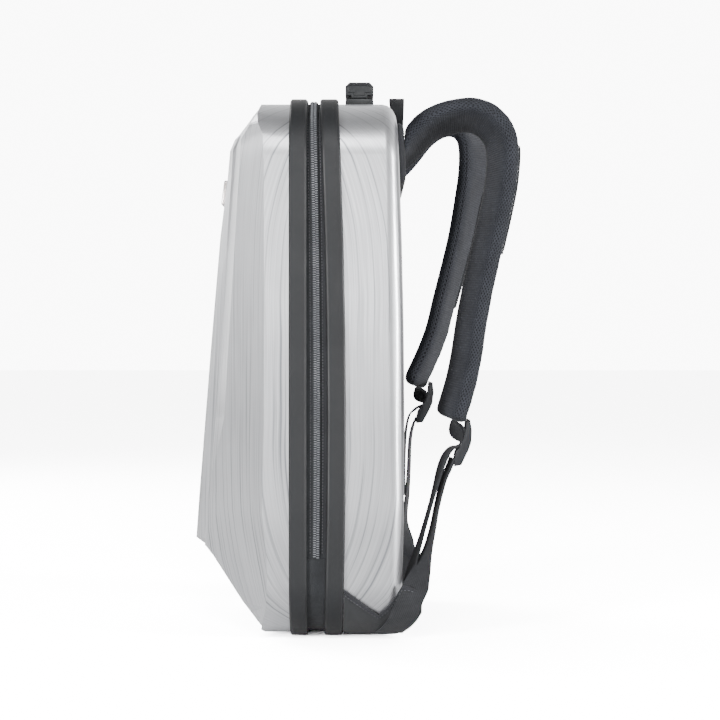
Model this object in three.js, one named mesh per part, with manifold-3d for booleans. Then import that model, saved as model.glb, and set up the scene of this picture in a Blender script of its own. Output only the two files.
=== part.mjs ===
// A hard shell backpack, standing on its two bumpers.
// X runs across the bag, with the wearer's right at +X. Y runs from the faceted front to the straps.
// Z is up, and the origin is the middle of the front bumper's flat foot. All lengths are millimetres.
import * as THREE from "three";
import { mergeVertices } from "three/addons/utils/BufferGeometryUtils.js";
import Module from "manifold-3d";

const wasm = await Module();
wasm.setup();

// Case
const caseWidth = 310;
const caseHeight = 470;
const cornerRadius = 55;
const leanHeight = 113; // below this height the sides lean in
const leanIn = 7.9; // how far each side has leaned in at the floor
const bendLength = 22; // height over which the side changes to its lean
const cornerFaces = 7;
const sideFaces = 4;

// Shells
const shellWall = 2.5;
const shellInset = 4.6; // from the bumpers' outer face to the shell at the sides and top
const footInset = 3; // the same at the bottom
const frontDepth = 97.5; // from the middle of the front bumper to the shell's foremost point
const panelHalf = 26; // flat middle of the front's raised panel
const panelEdge = 45; // where its sides step down
const panelStep = 3;
const stepRun = 1.2; // half the width of the sloping step
const closeLevels = 1.2; // sections of the front are at least this far apart in height
const backDepth = 91.1; // from the middle of the front bumper to the shell's back plane
const backFilletIn = 16; // the back edge's rounding, across the back
const backFilletOut = 12; // and along the side
const backFilletFaces = 4;
const bowHeight = 190; // where the rear half is deepest
const bowTop = 6.75; // how much shallower it is at the shell's top

// Bumpers and zip
const frontBumperWidth = 15;
const rearBumperWidth = 16;
const zipGap = 17.6; // between the bumpers where the rear half is deepest
const bumperRound = 1.5;
const bumperLip = 2; // thickness of the lip inside the shell's rim
const slotDepth = 10.3; // how deep the shell's rim sits in a bumper
const bumperWeb = 1.7; // between the rim's slot and the seat of the zip tape
const tapeDepth = 4.6; // from the bumpers' outer face down to the zip tape
const tapeThick = 1.2;
const coilWidth = 7;
const coilHeight = 2.1;
const coilBottom = 72; // the teeth stop at this height on both sides
const sliderLength = 12;
const sliderWidth = 10.4;
const sliderHeight = 3.4;
const pullLength = 32;
const pullWidth = 6;
const pullThick = 1.6;
const sliderPlace = 236; // where the two sliders meet, on the wearer's left

// Name plate, left bare
const badgeWidth = 44;
const badgeHeight = 23;
const badgeThick = 3.4;
const badgeMiddle = 395.5;
const badgeRound = 2;

// Handle
const handleMiddle = 52.5; // along Y
const handleLength = 160;
const handleWidth = 25;
const gripThick = 11.6;
const gripShoulder = 3.6;
const handleRise = 23; // from the shell to the grip's top
const tongueWidth = 14;
const mountLength = 34;
const mountHeight = 8.4;
const tongueLength = 12;

// Back
const backPanelHalf = 124;
const backPanelTop = 392;
const backPanelBottom = 32;
const backPanelRound = 32;
const recessDepth = 4;
const recessSlope = 1;
const backPanelProud = 0.8; // at its edge
const backPanelCrown = 2.2; // more at its middle
const yokeHalf = 92;
const yokeTop = 452;
const yokeBottom = 398;
const yokeRound = 12;
const yokeThick = 6.5;

// Straps
const padWidth = 62;
const padThick = 15;
const padEdge = 4; // rounding along the pad's edges
const padTwist = 14; // degrees; the pad's outer edge stands away from the bag
const strapRoot = 58; // middle of a pad where it leaves the yoke
const strapEnd = 100; // and at its buckle
const strapEndLeft = 95;
const strapRootHeight = 426;
const strapReach = 105; // farthest from the back plane
const strapDrop = 236; // from the root to the pad's end
const webWidth = 25;
const webThick = 1.7;
const linkLie = -25; // degrees; the way the short web's face looks
const linkOut = 3;
const lockLength = 41.5;
const lockWidth = 33;
const lockRail = 3.6;
const lockBar = 4;
const stripWidth = 4;
const stripThick = 1.6;
const stripRows = { first: 8, last: 12 };
const wingThick = 2;
const wingReach = 15; // from the back plane to the wing's tip
const loopWidth = 14;
const loopThick = 2;
const loopSpan = 56;
const loopRise = 20; // above the shell's top

const gap = 0.3; // left between pieces that touch

const caseEdge = { half: caseWidth / 2, top: caseHeight, bottom: 0, radius: cornerRadius };
const shellEdge = {
  half: caseWidth / 2 - shellInset,
  top: caseHeight - shellInset,
  bottom: footInset,
  radius: cornerRadius - shellInset,
};
const backPanelSeat = {
  half: backPanelHalf,
  top: backPanelTop,
  bottom: backPanelBottom,
  radius: backPanelRound,
};
const yokeEdge = { half: yokeHalf, top: yokeTop, bottom: yokeBottom, radius: yokeRound };

const frontHalf = frontBumperWidth / 2;
const rearHalf = rearBumperWidth / 2;
const rearMiddle = frontHalf + zipGap + rearHalf;
const rimFront = slotDepth - frontHalf; // the front shell's rim along Y
const rimRear = rearMiddle + rearHalf - slotDepth;

const { sin, cos, PI, min, max, abs, atan, tan } = Math;
const degree = PI / 180;
const range = (count) => Array.from({ length: count }, (_, i) => i);
const mix = (a, b, share) => a + (b - a) * share;
const point = (x, y, z) => new THREE.Vector3(x, y, z);

// How far the rear half draws forward at a height.
function bow(z) {
  const reach = caseHeight - shellInset - bowHeight;
  return -bowTop * ((z - bowHeight) / reach) ** 2;
}

// Middle of the zip at a height.
const zipMiddle = (z) => frontHalf + (zipGap + bow(z)) / 2;

// Triangles gathered into one closed body, turned to face outwards at the end.
class Skin {
  constructor() {
    this.corners = [];
  }

  triangle(a, b, c) {
    const same = (p, q) => p.distanceToSquared(q) < 1e-8;
    if (!same(a, b) && !same(b, c) && !same(c, a)) this.corners.push(a, b, c);
  }

  quad(a, b, c, d) {
    this.triangle(a, b, c);
    this.triangle(a, c, d);
  }

  // Faces between rows of equal length. Rows or columns that close on themselves are wrapped.
  grid(rows, wrapRows = false, wrapColumns = false) {
    const last = wrapRows ? rows.length : rows.length - 1;
    for (let r = 0; r < last; r++) {
      const low = rows[r];
      const high = rows[(r + 1) % rows.length];
      const ends = wrapColumns ? low.length : low.length - 1;
      for (let c = 0; c < ends; c++) {
        const next = (c + 1) % low.length;
        this.quad(low[c], low[next], high[next], high[c]);
      }
    }
  }

  // A flat or nearly flat end, fanned from its middle.
  fan(ring, flip = false) {
    const middle = ring.reduce((sum, p) => sum.add(p), point(0, 0, 0)).divideScalar(ring.length);
    ring.forEach((p, i) => {
      const next = ring[(i + 1) % ring.length];
      if (flip) this.triangle(middle, next, p);
      else this.triangle(middle, p, next);
    });
  }

  // Closes a row that mirrors itself about the middle, by strips from its left to its right half.
  across(row, flip = false) {
    const end = row.length - 1;
    for (let k = 0; k < (end - 1) / 2; k++) {
      const strip = [row[k + 1], row[k], row[end - k], row[end - 1 - k]];
      this.quad(...(flip ? strip.reverse() : strip));
    }
  }

  geometry() {
    const p = this.corners;
    let volume = 0;
    for (let i = 0; i < p.length; i += 3) {
      volume += p[i].dot(new THREE.Vector3().crossVectors(p[i + 1], p[i + 2]));
    }
    const order = volume < 0 ? [0, 2, 1] : [0, 1, 2];
    const flatList = [];
    for (let i = 0; i < p.length; i += 3) order.forEach((o) => flatList.push(...p[i + o].toArray()));
    return new THREE.BufferGeometry().setAttribute(
      "position",
      new THREE.Float32BufferAttribute(flatList, 3),
    );
  }
}

// Joins overlapping closed geometries into one.
function fuse(geometries) {
  const solids = geometries.map((geometry) => {
    const bare = geometry.clone();
    bare.deleteAttribute("normal");
    bare.deleteAttribute("uv");
    const merged = mergeVertices(bare, 1e-4);
    return new wasm.Manifold(
      new wasm.Mesh({
        numProp: 3,
        vertProperties: merged.attributes.position.array,
        triVerts: new Uint32Array(merged.index.array),
      }),
    );
  });
  const mesh = solids.reduce((sum, solid) => sum.add(solid)).getMesh();
  return new THREE.BufferGeometry()
    .setAttribute("position", new THREE.BufferAttribute(mesh.vertProperties, 3))
    .setIndex(new THREE.BufferAttribute(mesh.triVerts, 1));
}

// Right half of an outline in the XZ plane, from the bottom centre to the top centre.
// Each stop has its place and the direction that faces out.
function rightHalf(edge) {
  const lean = atan(leanIn / leanHeight);
  const lowZ = edge.bottom + edge.radius;
  const lowX = edge.half + ((lowZ - leanHeight) * sin(lean) - edge.radius) / cos(lean);
  const highX = edge.half - edge.radius;
  const highZ = edge.top - edge.radius;
  const stops = [{ x: 0, z: edge.bottom, turn: -PI / 2 }];
  const corner = (x, z, from, to) => {
    range(cornerFaces + 1).forEach((i) => {
      const turn = mix(from, to, i / cornerFaces);
      stops.push({ x: x + edge.radius * cos(turn), z: z + edge.radius * sin(turn), turn });
    });
  };
  const leans = lowZ < leanHeight - bendLength / 2;
  corner(leans ? lowX : highX, lowZ, -PI / 2, leans ? -lean : 0);
  const bendLow = max(leanHeight - bendLength / 2, lowZ + 1);
  const bendHigh = max(leanHeight + bendLength / 2, lowZ + 2);
  const lowEnd = leans ? (leanHeight - bendLow) * tan(lean) : 0;
  stops.push({ x: edge.half - lowEnd, z: bendLow, turn: leans ? -lean : 0 });
  range(sideFaces).forEach((i) => {
    stops.push({ x: edge.half, z: mix(bendHigh, highZ, i / sideFaces), turn: 0 });
  });
  corner(highX, highZ, 0, PI / 2);
  stops.push({ x: 0, z: edge.top, turn: PI / 2 });
  return stops;
}

// The whole outline as a closed loop, moved in by an inset.
function outline(edge, inset = 0) {
  const right = rightHalf(edge).map(({ x, z, turn }) => ({
    x: x - inset * cos(turn),
    z: z - inset * sin(turn),
  }));
  const left = right.slice(1, -1).reverse();
  return [...right, ...left.map(({ x, z }) => ({ x: -x, z }))];
}

// A loop of points round an outline, at a distance along Y that may follow the bow.
function loop(edge, inset, y, bowed = false) {
  return outline(edge, inset).map(({ x, z }) => point(x, y + (bowed ? bow(z) : 0), z));
}

// Closes a loop round an outline by strips from its right to its left half.
function closeAcross(skin, ring, flip) {
  for (let i = 0; i < ring.length / 2; i++) {
    const left = ring[(ring.length - i) % ring.length];
    const leftNext = ring[ring.length - i - 1];
    const strip = [left, leftNext, ring[i + 1], ring[i]];
    skin.quad(...(flip ? strip.reverse() : strip));
  }
}

// A body made of loops, closed across at its first and last loop.
function tray(loops) {
  const skin = new Skin();
  skin.grid(loops, false, true);
  closeAcross(skin, loops[0], false);
  closeAcross(skin, loops.at(-1), true);
  return skin.geometry();
}

// A hoop swept round the case. Each row of the section names its edge, its inset and its place along Y.
function hoop(rows) {
  const skin = new Skin();
  skin.grid(
    rows.map(({ edge, inset, y, bowed }) => loop(edge, inset, y, bowed)),
    true,
    true,
  );
  return skin.geometry();
}

// Corners of a right half, with one more stop cut in at a height.
function cutAt(z) {
  const stops = rightHalf(caseEdge);
  const next = stops.findIndex((s) => s.z > z);
  const low = stops[next - 1];
  const high = stops[next];
  const share = (z - low.z) / (high.z - low.z);
  const stop = { x: mix(low.x, high.x, share), z, turn: mix(low.turn, high.turn, share) };
  return { below: [...stops.slice(0, next), stop], above: [stop, ...stops.slice(next)] };
}

// A band that follows the case, with flat ends. section(z) gives its section as [inset, y].
function band(stops, section) {
  return loft(
    stops.map(({ x, z, turn, side }) =>
      section(z).map(([inset, y]) => point(side * (x - inset * cos(turn)), y, z - inset * sin(turn))),
    ),
  );
}

const sided = (stops, side) => stops.map((stop) => ({ ...stop, side }));

// Stops from the right side over the top to the left side, above the end of the teeth.
function overTop() {
  const { above } = cutAt(coilBottom + gap);
  return [...sided(above, 1), ...sided(above.slice(0, -1).reverse(), -1)];
}

// Stops from the left side round the foot to the right side.
function underFoot() {
  const { below } = cutAt(coilBottom);
  return [...sided(below.slice(1).reverse(), -1), ...sided(below, 1)];
}

// A body through equal sections, closed at both ends.
function loft(sections) {
  const skin = new Skin();
  skin.grid(sections, false, true);
  skin.fan(sections[0], true);
  skin.fan(sections.at(-1));
  return skin.geometry();
}

// FRONT SHELL
// One row for each height of the faceted front, from the bottom up. All values are shares.
// height: of the case's height. side: depth of the crease along the side wall.
// ridge, ridgeOut: place and depth of the ridge. edgeOut: the raised panel's edge.
// middle: the panel's flat middle. Places are shares of the half width, depths of the front's depth.
const frontRows = [
  { height: 0, side: 0.3, ridge: 0.387, ridgeOut: 0.304, edgeOut: 0.308, middle: 0.312, step: 0.1 },
  { height: 0.01, side: 0.338, ridge: 0.645, ridgeOut: 0.339, edgeOut: 0.34, middle: 0.341, step: 0 },
  { height: 0.058, side: 0.284, ridge: 0.606, ridgeOut: 0.523, edgeOut: 0.523, middle: 0.523, step: 0 },
  { height: 0.108, side: 0.266, ridge: 0.465, ridgeOut: 0.709, edgeOut: 0.709, middle: 0.709, step: 0 },
  { height: 0.135, side: 0.27, ridge: 0.387, ridgeOut: 0.81, edgeOut: 0.811, middle: 0.812, step: 0 },
  { height: 0.152, side: 0.274, ridge: 0.31, ridgeOut: 0.893, edgeOut: 0.9, middle: 0.921, step: 0 },
  { height: 0.164, side: 0.277, ridge: 0.333, ridgeOut: 0.872, edgeOut: 0.904, middle: 1, step: 0 },
  { height: 0.234, side: 0.311, ridge: 0.499, ridgeOut: 0.745, edgeOut: 0.878, middle: 0.977, step: 0 },
  { height: 0.404, side: 0.294, ridge: 0.558, ridgeOut: 0.69, edgeOut: 0.802, middle: 0.913, step: 0.02 },
  { height: 0.534, side: 0.294, ridge: 0.603, ridgeOut: 0.648, edgeOut: 0.761, middle: 0.865, step: 0.3 },
  { height: 0.759, side: 0.294, ridge: 0.68, ridgeOut: 0.574, edgeOut: 0.694, middle: 0.774, step: 0.67 },
  { height: 0.878, side: 0.294, ridge: 0.721, ridgeOut: 0.535, edgeOut: 0.656, middle: 0.704, step: 0.93 },
  { height: 0.931, side: 0.306, ridge: 0.739, ridgeOut: 0.518, edgeOut: 0.64, middle: 0.682, step: 1 },
  { height: 0.954, side: 0.351, ridge: 0.837, ridgeOut: 0.432, edgeOut: 0.592, middle: 0.636, step: 0.7 },
  { height: 0.973, side: 0.362, ridge: 0.71, ridgeOut: 0.4, edgeOut: 0.528, middle: 0.538, step: 0.3 },
  { height: 1, side: 0.335, ridge: 0.516, ridgeOut: 0.372, edgeOut: 0.433, middle: 0.466, step: 0.1 },
];
const frontHeights = frontRows.map(({ height }) => mix(shellEdge.bottom, shellEdge.top, height));

// The row of the front at any height, in millimetres.
function frontAt(z) {
  const next = max(
    1,
    frontHeights.findIndex((h) => h >= z - 1e-6),
  );
  const share = (z - frontHeights[next - 1]) / (frontHeights[next] - frontHeights[next - 1]);
  const value = (name) => mix(frontRows[next - 1][name], frontRows[next][name], share);
  return {
    side: -frontDepth * value("side"),
    ridge: (caseWidth / 2) * value("ridge"),
    ridgeOut: -frontDepth * value("ridgeOut"),
    edgeOut: -frontDepth * value("edgeOut"),
    middle: -frontDepth * value("middle"),
    step: panelStep * value("step"),
  };
}

// Heights of the front shell's level sections: each stop of its outline, and each row of the table
// that isn't close to one, as a share of the way from the stop below it.
function frontLevels() {
  const stops = rightHalf(shellEdge).slice(1, -1);
  const levels = stops.map(({ z }, below) => ({ z, below, share: 0 }));
  frontHeights
    .filter((z) => stops.every((stop) => abs(stop.z - z) > closeLevels))
    .forEach((z) => {
      const below = stops.findIndex((stop) => stop.z > z) - 1;
      const share = (z - stops[below].z) / (stops[below + 1].z - stops[below].z);
      levels.push({ z, below, share });
    });
  return levels.sort((a, b) => a.z - b.z);
}

// One skin of the front shell: the outer one has no inset, the inner one is a wall further in.
// It is a level section for each height, from the left rim over the front to the right rim.
function frontSkin(inset) {
  const stops = rightHalf(shellEdge)
    .slice(1, -1)
    .map(({ x, z, turn }) => ({ x: x - inset * cos(turn), z: z - inset * sin(turn) }));
  const slope = inset * 1.15; // a wall's thickness along Y on the sloping facets
  return frontLevels().map(({ z, below, share }) => {
    const row = frontAt(z);
    const next = stops[below + 1] ?? stops[below];
    const half = mix(stops[below].x, next.x, share);
    const right = [
      [panelHalf, row.middle + slope],
      [panelEdge - stepRun, row.edgeOut + slope],
      [panelEdge + stepRun, row.edgeOut + row.step + slope],
      [min(row.ridge, half - 1.5), row.ridgeOut + slope],
      [half, row.side + slope],
      [half, rimFront],
    ];
    const left = right.map(([x, y]) => [-x, y]).reverse();
    return [...left, ...right].map(([x, y]) => point(x, y, mix(stops[below].z, next.z, share)));
  });
}

function frontShell() {
  const outer = frontSkin(0);
  const inner = frontSkin(shellWall);
  const skin = new Skin();
  skin.grid(outer);
  skin.across(outer[0]);
  skin.across(outer.at(-1), true);
  skin.grid(inner.map((row) => [...row].reverse()));
  skin.across(inner[0], true);
  skin.across(inner.at(-1));
  outer.slice(0, -1).forEach((row, i) => {
    const above = outer[i + 1];
    skin.quad(above.at(-1), row.at(-1), inner[i].at(-1), inner[i + 1].at(-1));
    skin.quad(row[0], above[0], inner[i + 1][0], inner[i][0]);
  });
  skin.quad(outer[0].at(-1), outer[0][0], inner[0][0], inner[0].at(-1));
  skin.quad(outer.at(-1)[0], outer.at(-1).at(-1), inner.at(-1).at(-1), inner.at(-1)[0]);
  return skin.geometry();
}

// REAR SHELL
// Loops of the rounded back edge, one wall in for the inner skin.
function backEdge(inset) {
  return range(backFilletFaces + 1).map((i) => {
    const turn = (i / backFilletFaces) * (PI / 2);
    const across = backFilletIn - (backFilletIn - inset) * cos(turn);
    const along = backDepth - backFilletOut + (backFilletOut - inset) * sin(turn);
    return loop(shellEdge, across, along, true);
  });
}

function rearShell() {
  const seat = (inset, y) => loop(backPanelSeat, inset, y, true);
  return tray([
    seat(shellWall * -1 + recessSlope, backDepth - recessDepth - shellWall),
    seat(shellWall * -1, backDepth - shellWall),
    ...backEdge(shellWall).reverse(),
    loop(shellEdge, shellWall, rimRear, true),
    loop(shellEdge, 0, rimRear, true),
    ...backEdge(0),
    seat(0, backDepth),
    seat(recessSlope, backDepth - recessDepth),
  ]);
}

// BUMPERS
// out is +1 where the shell lies behind the bumper and -1 where it lies in front.
function bumper(middle, half, out, bowed) {
  const rows = [
    [caseEdge, bumperRound, half],
    [caseEdge, 0, half - bumperRound],
    [caseEdge, 0, bumperRound - half],
    [caseEdge, bumperRound, -half],
    [caseEdge, tapeDepth - gap, -half],
    [caseEdge, tapeDepth - gap, half - slotDepth - gap - bumperWeb],
    [shellEdge, shellWall + gap + bumperLip, half - slotDepth - gap - bumperWeb],
    [shellEdge, shellWall + gap + bumperLip, half],
    [shellEdge, shellWall + gap, half],
    [shellEdge, shellWall + gap, half - slotDepth - gap],
    [shellEdge, -gap, half - slotDepth - gap],
    [shellEdge, -gap, half],
  ];
  return hoop(rows.map(([edge, inset, y]) => ({ edge, inset, y: middle + out * y, bowed })));
}

// Where the zip tapes end under the bumpers.
const tapeFront = gap - (frontHalf - slotDepth - gap - bumperWeb);
const tapeRear = rearMiddle + (rearHalf - slotDepth - gap - bumperWeb) - gap;

const ribbon = (inside, outside) => [
  [tapeDepth, inside],
  [tapeDepth, outside],
  [tapeDepth + tapeThick, outside],
  [tapeDepth + tapeThick, inside],
];
const frontTape = () => band(overTop(), (z) => ribbon(tapeFront, zipMiddle(z) - gap / 2));
const rearTape = () => band(overTop(), (z) => ribbon(zipMiddle(z) + gap / 2, tapeRear + bow(z)));
const hingeStrip = () => band(underFoot(), (z) => ribbon(tapeFront, tapeRear + bow(z)));

function zipCoil() {
  const base = tapeDepth - gap;
  const flank = coilHeight * 0.5;
  const crown = coilWidth * 0.32;
  return band(overTop(), (z) => {
    const middle = zipMiddle(z);
    return [
      [base, middle - coilWidth / 2],
      [base - flank, middle - coilWidth / 2],
      [base - coilHeight, middle - crown],
      [base - coilHeight, middle + crown],
      [base - flank, middle + coilWidth / 2],
      [base, middle + coilWidth / 2],
    ];
  });
}

// A straight body with the outline points, from one place to another along its third axis.
// place(a, b, along) puts a point of the outline in space.
function prism(points, from, to, place) {
  return loft([from, to].map((along) => points.map(([a, b]) => place(a, b, along))));
}

// A rounded rectangle as a list of points.
function rounded(width, height, radius, faces = 3) {
  const corners = [
    [1, 1, 0],
    [-1, 1, 90],
    [-1, -1, 180],
    [1, -1, 270],
  ];
  return corners.flatMap(([a, b, start]) =>
    range(faces + 1).map((i) => {
      const turn = (start + (i / faces) * 90) * degree;
      return [
        a * (width / 2 - radius) + radius * cos(turn),
        b * (height / 2 - radius) + radius * sin(turn),
      ];
    }),
  );
}

// A slider on the coil, on the wearer's left, with its pull hanging beside the other one's.
// up is +1 for the upper slider.
function zipSlider(up) {
  const z = sliderPlace + (up * (sliderLength + gap)) / 2;
  const middle = zipMiddle(z);
  const foot = caseWidth / 2 - (tapeDepth - gap - coilHeight) + gap;
  const top = foot + sliderHeight;
  const place = (a, b, along) => point(-along, middle + a, z + b);
  const nose = sliderWidth * 0.34;
  const body = [
    [-sliderWidth / 2, (-up * sliderLength) / 2],
    [sliderWidth / 2, (-up * sliderLength) / 2],
    [sliderWidth / 2, 0],
    [nose, (up * sliderLength) / 2],
    [-nose, (up * sliderLength) / 2],
    [-sliderWidth / 2, 0],
  ];
  const pull = rounded(pullWidth, pullLength, pullWidth * 0.4).map(([a, b]) => [
    a - (up * (pullWidth + 1)) / 2,
    b - pullLength / 2 + sliderLength * 0.4,
  ]);
  const post = rounded(pullWidth * 0.7, pullWidth * 0.7, 1).map(([a, b]) => [
    a - (up * (pullWidth + 1)) / 2,
    b + sliderLength * 0.1,
  ]);
  return fuse([
    prism(body, foot, top, place),
    prism(post, top - 1, top + gap + pullThick / 2, place),
    prism(pull, top + gap, top + gap + pullThick, place),
  ]);
}

// BADGE
function badge() {
  const lean = frontAt(badgeMiddle + 1).middle - frontAt(badgeMiddle - 1).middle;
  const tilt = atan(lean / 2);
  const front = frontAt(badgeMiddle).middle;
  const place = (a, b, along) =>
    point(a, front - along * cos(tilt) + b * sin(tilt), badgeMiddle + along * sin(tilt) + b * cos(tilt));
  const ring = (shrink, along) =>
    rounded(badgeWidth - shrink, badgeHeight - shrink, badgeRound - shrink / 2).map(([a, b]) =>
      place(a, b, along),
    );
  return loft([ring(0, gap), ring(0, badgeThick - 1), ring(1.6, badgeThick)]);
}

// HANDLE
const handleFoot = caseHeight - shellInset + gap;

function handleMount(side) {
  const inner = handleLength / 2 - mountLength;
  const outer = handleLength / 2;
  const place = (a, b, along) =>
    point(side * mix(inner, outer, along), handleMiddle + a, handleFoot + b);
  const half = handleWidth / 2;
  return prism(
    [
      [-half, 0],
      [half, 0],
      [half, mountHeight - 2],
      [half - 2, mountHeight],
      [2 - half, mountHeight],
      [-half, mountHeight - 2],
    ],
    0,
    1,
    place,
  );
}

function handleGrip() {
  const top = caseHeight - shellInset + handleRise;
  const foot = top - gripThick;
  const half = handleWidth / 2;
  const ends = handleLength / 2;
  const shoulder = half - gripShoulder;
  const place = (a, b, along) => point(along, handleMiddle + a, b);
  const bar = [
    [-half, foot],
    [half, foot],
    [half, top - gripShoulder],
    [shoulder, top],
    [-shoulder, top],
    [-half, top - gripShoulder],
  ];
  const tongue = [
    [-tongueWidth / 2, handleFoot + mountHeight + gap],
    [tongueWidth / 2, handleFoot + mountHeight + gap],
    [tongueWidth / 2, foot + 1],
    [-tongueWidth / 2, foot + 1],
  ];
  return fuse([
    prism(bar, -ends, ends, place),
    prism(tongue, tongueLength - ends, -ends, place),
    prism(tongue, ends - tongueLength, ends, place),
  ]);
}

// BACK
function backPanel() {
  const pad = (inset, y) => loop(backPanelSeat, inset, y, true);
  return tray([
    pad(recessSlope + 2 * gap, backDepth - recessDepth + gap),
    pad(2 * gap, backDepth + backPanelProud),
    pad(backPanelRound * 0.3, backDepth + backPanelProud + backPanelCrown * 0.6),
    pad(backPanelRound * 0.85, backDepth + backPanelProud + backPanelCrown),
  ]);
}

function yoke() {
  const pad = (inset, y) => loop(yokeEdge, inset, y, true);
  return tray([
    pad(0, backDepth + gap),
    pad(0, backDepth + yokeThick * 0.6),
    pad(yokeThick * 0.4, backDepth + yokeThick),
  ]);
}

// A webbing arch over the top of the back, between the yoke and the shell.
function hangLoop() {
  const foot = yokeTop + gap;
  const top = caseHeight - shellInset + loopRise;
  const yFoot = backDepth + bow(yokeTop) + yokeThick * 0.65;
  const yTop = backDepth + bow(yokeTop) + loopWidth * 0.15;
  const legs = top - foot - loopSpan * 0.3;
  return loft(
    range(13).map((i) => {
      const share = i / 12;
      const turn = PI * share;
      const lift = sin(turn) ** 0.7;
      const outward = point(cos(turn), 0, sin(turn) * 0.6).normalize();
      const middle = point(
        (loopSpan / 2) * cos(turn),
        mix(yFoot, yTop, lift),
        foot + (legs + loopSpan * 0.3) * lift,
      );
      const half = mix(loopWidth * 0.24, loopWidth / 2, lift);
      return [
        [half, loopThick],
        [-half, loopThick],
        [-half, 0],
        [half, 0],
      ].map(([along, out]) =>
        point(middle.x, middle.y + along, middle.z).addScaledVector(outward, out - loopThick),
      );
    }),
  );
}

// STRAPS
// Each strap leaves the yoke, arches up and falls to its buckle. The two hang differently.
// out: from the back plane, a share of the strap's reach. down: from the root, a share of its drop.
// spread: from the root's place across to the buckle's. lie: the way its outer face looks, in degrees
// from +Y towards +Z.
const padRoutes = {
  right: [
    { out: 0.018, down: 0, spread: 0, lie: 92.4 },
    { out: 0.119, down: -0.064, spread: 0.02, lie: 130 },
    { out: 0.246, down: -0.115, spread: 0.05, lie: 119 },
    { out: 0.42, down: -0.142, spread: 0.1, lie: 100 },
    { out: 0.576, down: -0.148, spread: 0.17, lie: 85 },
    { out: 0.69, down: -0.132, spread: 0.24, lie: 61 },
    { out: 0.772, down: -0.1, spread: 0.31, lie: 40 },
    { out: 0.825, down: -0.059, spread: 0.36, lie: 22 },
    { out: 0.845, down: -0.008, spread: 0.4, lie: 6 },
    { out: 0.842, down: 0.051, spread: 0.43, lie: -2 },
    { out: 0.817, down: 0.144, spread: 0.48, lie: -8 },
    { out: 0.755, down: 0.271, spread: 0.57, lie: -13 },
    { out: 0.69, down: 0.39, spread: 0.64, lie: -14 },
    { out: 0.622, down: 0.522, spread: 0.74, lie: -13 },
    { out: 0.572, down: 0.636, spread: 0.81, lie: -11 },
    { out: 0.524, down: 0.771, spread: 0.88, lie: -11 },
    { out: 0.482, down: 0.858, spread: 0.93, lie: -13 },
    { out: 0.443, down: 0.918, spread: 0.98, lie: -17 },
    { out: 0.405, down: 0.972, spread: 1, lie: -20 },
    { out: 0.39, down: 1, spread: 1, lie: -20 },
  ],
  left: [
    { out: 0.018, down: 0, spread: 0, lie: 92.4 },
    { out: 0.114, down: -0.068, spread: 0.02, lie: 131 },
    { out: 0.235, down: -0.131, spread: 0.05, lie: 122 },
    { out: 0.376, down: -0.17, spread: 0.07, lie: 105 },
    { out: 0.505, down: -0.174, spread: 0.1, lie: 78 },
    { out: 0.6, down: -0.143, spread: 0.12, lie: 47 },
    { out: 0.65, down: -0.09, spread: 0.14, lie: 20 },
    { out: 0.662, down: -0.03, spread: 0.17, lie: 2 },
    { out: 0.655, down: 0.025, spread: 0.2, lie: -6 },
    { out: 0.638, down: 0.083, spread: 0.26, lie: -9 },
    { out: 0.567, down: 0.275, spread: 0.48, lie: -12 },
    { out: 0.474, down: 0.449, spread: 0.62, lie: -14 },
    { out: 0.418, down: 0.547, spread: 0.69, lie: -14 },
    { out: 0.37, down: 0.64, spread: 0.76, lie: -15 },
    { out: 0.315, down: 0.714, spread: 0.81, lie: -21 },
    { out: 0.247, down: 0.786, spread: 0.86, lie: -25 },
    { out: 0.186, down: 0.844, spread: 0.88, lie: -25 },
    { out: 0.145, down: 0.89, spread: 0.88, lie: -22 },
  ],
};

// Where each side's buckle hangs: its top along Y and Z, and how far it leans.
const lockPlaces = {
  right: { y: 147.2, z: 190.5, lean: 0 },
  left: { y: 122.6, z: 220.5, lean: 3 },
};

// The buckle seen from the side, as shares of its length: out along Y and down from its top.
const lockProfile = [
  { out: -0.036, down: 0 },
  { out: 0.036, down: 0.02 },
  { out: 0.075, down: 0.243 },
  { out: 0.06, down: 0.496 },
  { out: 0.002, down: 0.66 },
  { out: -0.147, down: 0.971 },
  { out: -0.301, down: 1 },
  { out: -0.26, down: 0.718 },
  { out: -0.176, down: 0.59 },
  { out: -0.113, down: 0.463 },
  { out: -0.051, down: 0.253 },
];
const lockBars = [
  { out: 0, down: 0.07 },
  { out: -0.02, down: 0.48 },
  { out: -0.215, down: 0.93 },
];

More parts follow.
